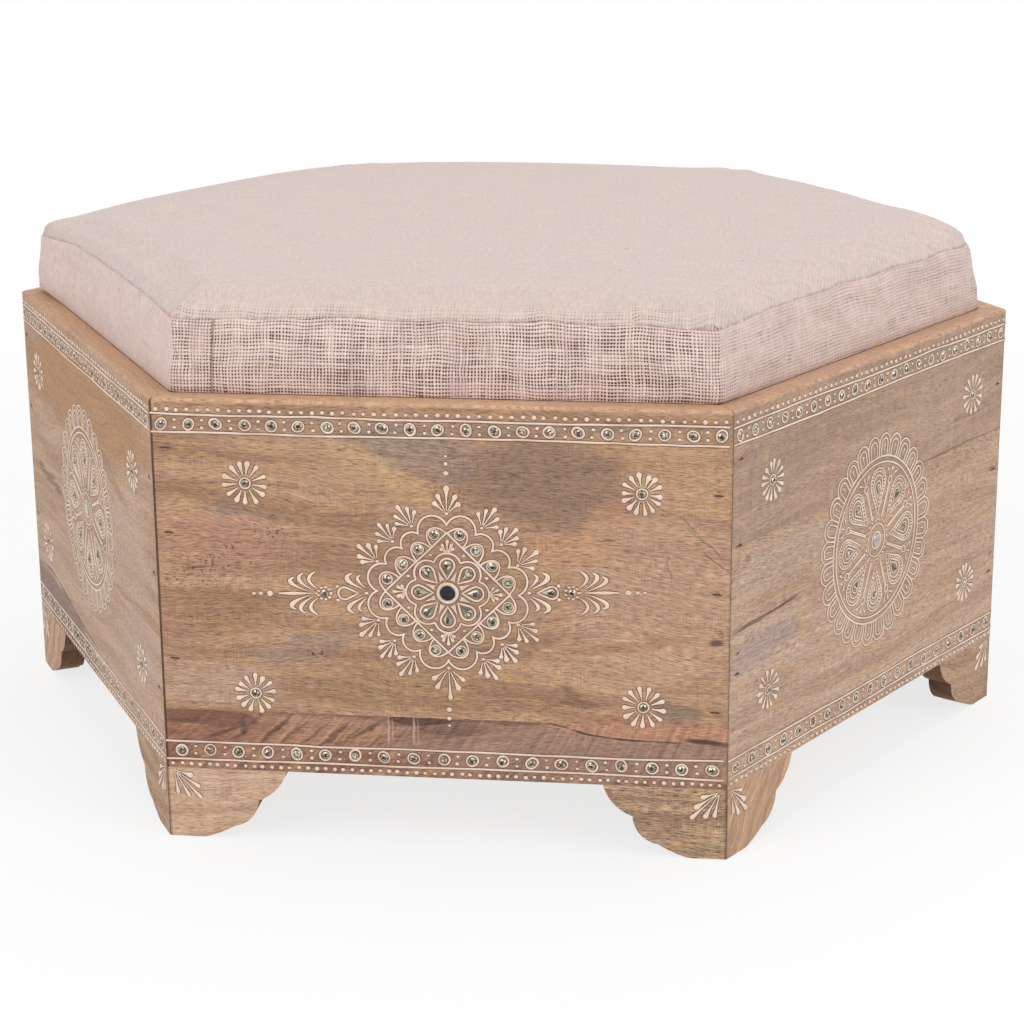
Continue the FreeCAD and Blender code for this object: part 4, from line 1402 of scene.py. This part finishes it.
def filled(points, faces, held):
    """The cover pushed out by its foam: a short cloth simulation under pressure, with held points fixed."""
    mesh = bpy.data.meshes.new("cover_trial")
    mesh.from_pydata((points * MM).tolist(), [], faces)
    trial = bpy.data.objects.new("cover_trial", mesh)
    bpy.context.scene.collection.objects.link(trial)
    group = trial.vertex_groups.new(name="held")
    group.add([int(k) for k in held], 1.0, "REPLACE")
    cloth = trial.modifiers.new("cloth", "CLOTH")
    cloth.settings.use_pressure = True
    cloth.settings.uniform_pressure_force = SIM_PRESSURE
    cloth.settings.vertex_group_mass = "held"
    cloth.settings.tension_stiffness = 25
    cloth.settings.compression_stiffness = 25
    cloth.settings.bending_stiffness = 1.0
    cloth.settings.shrink_min = -0.012
    cloth.settings.effector_weights.gravity = 0
    cloth.point_cache.frame_start = 1
    cloth.point_cache.frame_end = SIM_FRAMES
    scene = bpy.context.scene
    for number in range(1, SIM_FRAMES + 1):
        scene.frame_set(number)
    settled = trial.evaluated_get(bpy.context.evaluated_depsgraph_get())
    settled_mesh = settled.to_mesh()
    moved = np.empty(len(settled_mesh.vertices) * 3)
    settled_mesh.vertices.foreach_get("co", moved)
    settled.to_mesh_clear()
    scene.frame_set(1)
    bpy.data.objects.remove(trial)
    return moved.reshape(-1, 3) / MM


def capped(points, moved, caps):
    """Points moved no further than their caps."""
    away = moved - points
    length = np.linalg.norm(away, axis=1)
    share = np.minimum(1, caps / np.maximum(length, 1e-9))
    return points + away * share[:, None]


def handloom(name, yarn, dim, glow, specks=()):
    """Open plain weave of slubby yarn, from the place on the cloth that the piece carries.

    Close weave is dimmer by one share, and open weave brighter by the other. Shade is painted into the
    colour in the holes, across each yarn and along the top seam.
    """
    material, place = new_finish(name)
    warp, weft, open_share = place.add("Attribute", {"attribute_name": "cloth"}, {}, "Vector").parts()
    stray = (warp / 38).noise(weft / 30, 1.0, 2.0) - 0.5
    lag = (warp / 30).noise(weft / 38, 7.0, 2.0) - 0.5
    across = (warp + 4 * stray) / WARP_PITCH
    up = (weft + 4 * lag) / WEFT_PITCH
    warp_number = across.maths("FLOOR", across)
    weft_number = up.maths("FLOOR", up)
    warp_slub = (warp_number * 3.7).noise(up / 14, 2.0, 1.0)
    weft_slub = (weft_number * 3.7).noise(across / 14, 3.0, 1.0)
    gap_x = abs(across - warp_number - 0.5)
    gap_y = abs(up - weft_number - 0.5)
    patchy = (warp / 26).noise(weft / 22, 11.0, 2.0)
    width = 0.5 - open_share * (0.225 + 0.07 * patchy.step(0.3, 0.6))
    warp_thick = 0.2 * (warp_number.chance() - 0.5) + 0.5 * (warp_slub - 0.5)
    weft_thick = 0.2 * ((weft_number + 0.37).chance() - 0.5) + 0.5 * (weft_slub - 0.5)
    hole_x = (gap_x - warp_thick).step(width, width + 0.1)
    hole_y = (gap_y - weft_thick).step(width, width + 0.1)
    hole = hole_x * hole_y
    over = up.maths("SINE", up * math.pi) * across.maths("COSINE", warp_number * math.pi)
    warp_rise = (1 - 3.2 * gap_x * gap_x) * (0.68 + 0.32 * over)
    weft_rise = (1 - 3.2 * gap_y * gap_y) * (0.68 - 0.32 * over)
    rise = warp_rise.maths("MAXIMUM", warp_rise, weft_rise)
    mauve = ((warp / 30).noise(weft / 26, 4.0, 3.0) + 0.16 * (warp_number.chance() - 0.5)).step(0.46, 0.68)
    straw = ((warp / 34).noise(weft / 20, 5.0, 3.0) + 0.16 * (weft_number.chance() - 0.5)).step(0.5, 0.7)
    colour = ((0.1 + 0.45 * open_share) * mauve).blend(tone(*yarn), tone(*MAUVE_YARN))
    colour = ((0.2 + 0.3 * open_share) * straw).blend(colour, tone(*STRAW_YARN))
    fuzz = (warp / 1.1).noise(weft / 1.1, 6.0, 3.0)
    # Painted shade across each yarn: lighter on its crown, darker at its sides.
    yarn_round_shade = (0.04 + 0.4 * open_share) * (rise - 0.85)
    slubs = (0.4 + 0.6 * open_share) * (0.25 * (weft_slub - 0.5) + 0.2 * (warp_slub - 0.5))
    ribs = (warp / 2).noise(weft / 7, 12.0, 2.0) - 0.5
    shade = 1 + yarn_round_shade + 0.35 * (fuzz - 0.5) + slubs + 0.4 * ribs
    colour = (shade * (1 - dim * open_share.step(0.95, 0.7) + glow * open_share)).shading(colour)
    # Holes in the weave are painted dark brown: painted shade seen through the cloth.
    colour = (hole * 0.92).blend(colour, tone(*SHADE_AND_SPECK_BROWN))
    # Painted shade in the groove of the top seam, broken in places.
    seam = place.add("Attribute", {"attribute_name": "seam"}, {}, "Fac")
    broken = (warp / 5).noise(weft / 5, 9.0, 2.0).step(0.3, 0.6)
    colour = (0.36 * broken * seam.step(0.5, 1.0)).blend(colour, tone(*SHADE_AND_SPECK_BROWN))
    sheet = warp.add("CombineXYZ", {}, {"X": warp, "Y": weft})
    dark_specks = []
    for along, deep, *half in specks:
        where = (along + TOP_CUT_FROM, deep + TOP_CUT_FROM, *half)
        dark_specks.append((where, 30, SHADE_AND_SPECK_BROWN, 0.8))
    colour = stain(colour, sheet, dark_specks, 1.2, 0.6)
    lap = warp.step(9.0, 7.0)
    colour = (0.5 * abs(warp - 0.8).step(1.6, 0.5)).blend(colour, tone(*SHADE_AND_SPECK_BROWN))
    relief = (0.15 + open_share) * (rise - 0.8 * hole) + 0.25 * fuzz + 0.8 * lap
    surface(colour, 0.85 + 0.1 * (fuzz - 0.5), relief, 0.5, Sheen_Weight=0.2, Sheen_Roughness=0.5,
            Specular_IOR_Level=0.2)
    return material


def panel(name, points, faces, places, sewn, material):
    """Sewn panel as a piece, with places on the cloth for the corners of its faces, and its sewn points."""
    used = np.unique(np.array(faces))
    fresh = np.full(len(points), -1)
    fresh[used] = np.arange(len(used))
    fresh_faces = fresh[np.array(faces)].tolist()
    made = piece(name, points[used] * MM, fresh_faces, material, "seat")
    cloth = made.data.attributes.new("cloth", "FLOAT_VECTOR", "CORNER")
    cloth.data.foreach_set("vector", np.asarray(places, np.float32).ravel())
    seam = made.data.attributes.new("seam", "FLOAT", "POINT")
    seam.data.foreach_set("value", np.isin(used, sewn).astype(np.float32))
    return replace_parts(made, "cushion_cover")


cover_points, top_faces, wall_faces, cover_rings = cover_form()
held = np.concatenate([cover_rings[0], *cover_rings[-HELD_ROWS:]])
facing = np.radians(60 * np.arange(6) + 30)
from_edges = SEAM_APOTHEM - cover_points[:, :2] @ np.array((np.cos(facing), np.sin(facing)))
near_edges = np.exp(-((from_edges / EDGE_CAP_REACH) ** 2))
caps = TOP_CAP - ((TOP_CAP - np.array(EDGE_CAP)) * near_edges).max(axis=1)
caps[np.concatenate(cover_rings[1:])] = WALL_CAP
cover_points = capped(cover_points, filled(cover_points, top_faces + wall_faces, held), caps)
cover_points[cover_rings[0], :2] *= 1 - SEAM_PULL / SEAM_APOTHEM
seam_line = cover_points[cover_rings[0]]
steps = np.linalg.norm(np.roll(seam_line, -1, axis=0) - seam_line, axis=1)
from_boxing_seam = np.where(seam_line[:, 1] > FRONT_FROM, np.inf, np.abs(seam_line[:, 0] - BOXING_SEAM_AT))
start = int(np.argmin(from_boxing_seam))
run = np.concatenate(((0,), np.cumsum(np.roll(steps, -start))))
drop_run = np.zeros(len(cover_rings))
for k in range(1, len(cover_rings)):
    fall = cover_points[cover_rings[k]] - cover_points[cover_rings[k - 1]]
    drop_run[k] = drop_run[k - 1] - np.linalg.norm(fall, axis=1).mean()
count_round = 6 * CELLS
wall_places = []
for level in range(len(cover_rings) - 1):
    for k in range(count_round):
        first = (k - start) % count_round
        left, right = run[first], run[first + 1]
        upper, lower = drop_run[level], drop_run[level + 1]
        for place in ((left, upper), (left, lower), (right, lower), (right, upper)):
            wall_places.append((*place, SIDE_OPEN[k // CELLS]))
top_open = (0.6 * SIDE_OPEN * np.exp(-((from_edges / OPEN_REACH) ** 2))).max(axis=1)
top_places = [(*cover_points[k, :2] + TOP_CUT_FROM, top_open[k]) for face in top_faces for k in face]
boxing_cotton = handloom("boxing_cotton", SIDE_YARN_PAINTED_LIGHT, 0.1, 0.0)
top_cotton = handloom("top_cotton", TOP_YARN, 0.0, 0.15, TOP_SPECKS)
panel("cushion_boxing", cover_points, wall_faces, wall_places, cover_rings[0], boxing_cotton)
panel("cushion_top_panel", cover_points, top_faces, top_places, cover_rings[0], top_cotton)


# Foam pad
# Block of upholstery foam glued to the seat board, shaped to the hexagon and hidden by the cover.
FOAM = (232, 214, 160)
FOAM_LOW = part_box("foam_pad")[0].z / MM
FOAM_ROWS = (
    (319.0, FOAM_LOW + 0.2), (321.0, FOAM_LOW + 3.0),
    (321.5, 362.0), (318.0, 370.0), (308.0, 375.5),
)
FOAM_CORNER = 16.0
FOAM_BOW = 4.0


def foam_finish():
    """Yellowed open-cell foam."""
    material, place = new_finish("foam")
    across, deep, up = place.millimetres()
    cells = ((across + up) / 1.4).noise((deep + up) / 1.4, 1.0, 3.0)
    colour = cells.step(0.3, 0.7).blend(tone(*(c * 0.82 for c in FOAM)), tone(*FOAM))
    surface(colour, 0.9 - 0.1 * cells, cells, 0.6)
    return material


foam_points = []
foam_side = np.repeat(np.arange(6), CELLS)
foam_share = np.tile(np.arange(CELLS) / CELLS, 6)
for apothem, height in FOAM_ROWS:
    flat = hexagon(foam_side, foam_share, apothem, FOAM_CORNER, FOAM_CORNER, FOAM_BOW)
    foam_points += np.column_stack((*flat, np.full(count_round, height))).tolist()
foam_faces = strip(0, count_round, len(FOAM_ROWS))
foam_faces.append(tuple(range(count_round - 1, -1, -1)))
foam_faces.append(tuple(range(len(foam_points) - count_round, len(foam_points))))
foam = piece("foam_block", np.array(foam_points) * MM, foam_faces, foam_finish(), "seat")
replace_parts(foam, "foam_pad")


# Studio
# Pale floor that fades to white, an even sky, three soft lamps, and a camera in front of the bench,
# a little above it and to the right.
CAMERA_AZIMUTH = 7.2
CAMERA_ELEVATION = 16.69
CAMERA_ROLL = -0.44
CAMERA_TARGET = Vector((6.5, 0.0, 146.49)) * MM
CAMERA_DISTANCE = 2078.56 * MM
CAMERA_LENS = 88.43
FLOOR_REACH = 40.0
FADE_FROM = 0.75
FADE_TO = 1.7
SHADOW_WEAK = 0.78
PALE_FLOOR = (0.93, 0.93, 0.93, 1.0)
WHITE = (1.0, 1.0, 1.0, 1.0)
SKY = 0.5
LAMPS = (
    ("key_lamp", (-1.7, -2.4, 2.3), 2.2, 37.0),
    ("fill_lamp", (2.5, -1.5, 1.7), 2.0, 28.0),
    ("top_lamp", (0.2, 0.5, 3.0), 2.6, 31.0),
)


def background_rays(tree):
    """1 for rays that show the background, straight or by gloss or glass, and 0 for those that light."""
    paths = tree.nodes.new("ShaderNodeLightPath").outputs
    seen = Wire(paths["Is Camera Ray"])
    for name in ("Is Glossy Ray", "Is Transmission Ray"):
        seen = seen.maths("MAXIMUM", seen, Wire(paths[name]))
    return seen


def floor_finish():
    """Pale floor that takes the shadow near the bench and is plain white further out."""
    material, place = new_finish("studio_floor")
    reach = place.add("VectorMath", {"operation": "LENGTH"}, {0: place}, "Value")
    pale = place.add("BsdfDiffuse", {}, {"Color": PALE_FLOOR})
    white = place.add("Emission", {}, {"Color": WHITE, "Strength": 1.0})
    strength = SHADOW_WEAK + (1 - SHADOW_WEAK) * reach.step(FADE_FROM, FADE_TO)
    fade = strength * background_rays(material.node_tree)
    mixed = place.add("MixShader", {}, {0: fade, 1: pale, 2: white})
    place.add("OutputMaterial", {}, {"Surface": mixed})
    return material


floor_mesh = bpy.data.meshes.new("floor")
corners = [(x * FLOOR_REACH, y * FLOOR_REACH, 0.0) for x, y in ((-1, -1), (1, -1), (1, 1), (-1, 1))]
floor_mesh.from_pydata(corners, [], [(0, 1, 2, 3)])
floor = bpy.data.objects.new("floor", floor_mesh)
bpy.context.scene.collection.objects.link(floor)
use(floor, floor_finish())

world = bpy.data.worlds.new("studio_sky")
world.use_nodes = True
world.node_tree.nodes.clear()
seen = background_rays(world.node_tree)
sky = seen.add("Background", {}, {"Color": WHITE, "Strength": SKY + (1 - SKY) * seen})
seen.add("OutputWorld", {}, {"Surface": sky})
bpy.context.scene.world = world

for name, where, size, power in LAMPS:
    light = bpy.data.lights.new(name, "AREA")
    light.shape = "DISK"
    light.size = size
    light.energy = power
    lamp = bpy.data.objects.new(name, light)
    lamp.location = where
    lamp.rotation_euler = (CAMERA_TARGET - Vector(where)).to_track_quat("-Z", "Y").to_euler()
    bpy.context.scene.collection.objects.link(lamp)

azimuth = math.radians(CAMERA_AZIMUTH)
elevation = math.radians(CAMERA_ELEVATION)
level = math.cos(elevation)
back = Vector((math.sin(azimuth) * level, -math.cos(azimuth) * level, math.sin(elevation)))
camera = bpy.data.objects.new("camera", bpy.data.cameras.new("camera"))
camera.data.lens = CAMERA_LENS
camera.location = CAMERA_TARGET + back * CAMERA_DISTANCE
look = (-back).to_track_quat("-Z", "Y").to_matrix() @ Matrix.Rotation(math.radians(CAMERA_ROLL), 3, "Z")
camera.rotation_euler = look.to_euler()
bpy.context.scene.collection.objects.link(camera)
bpy.context.scene.camera = camera
bpy.context.scene.view_settings.view_transform = "Standard"
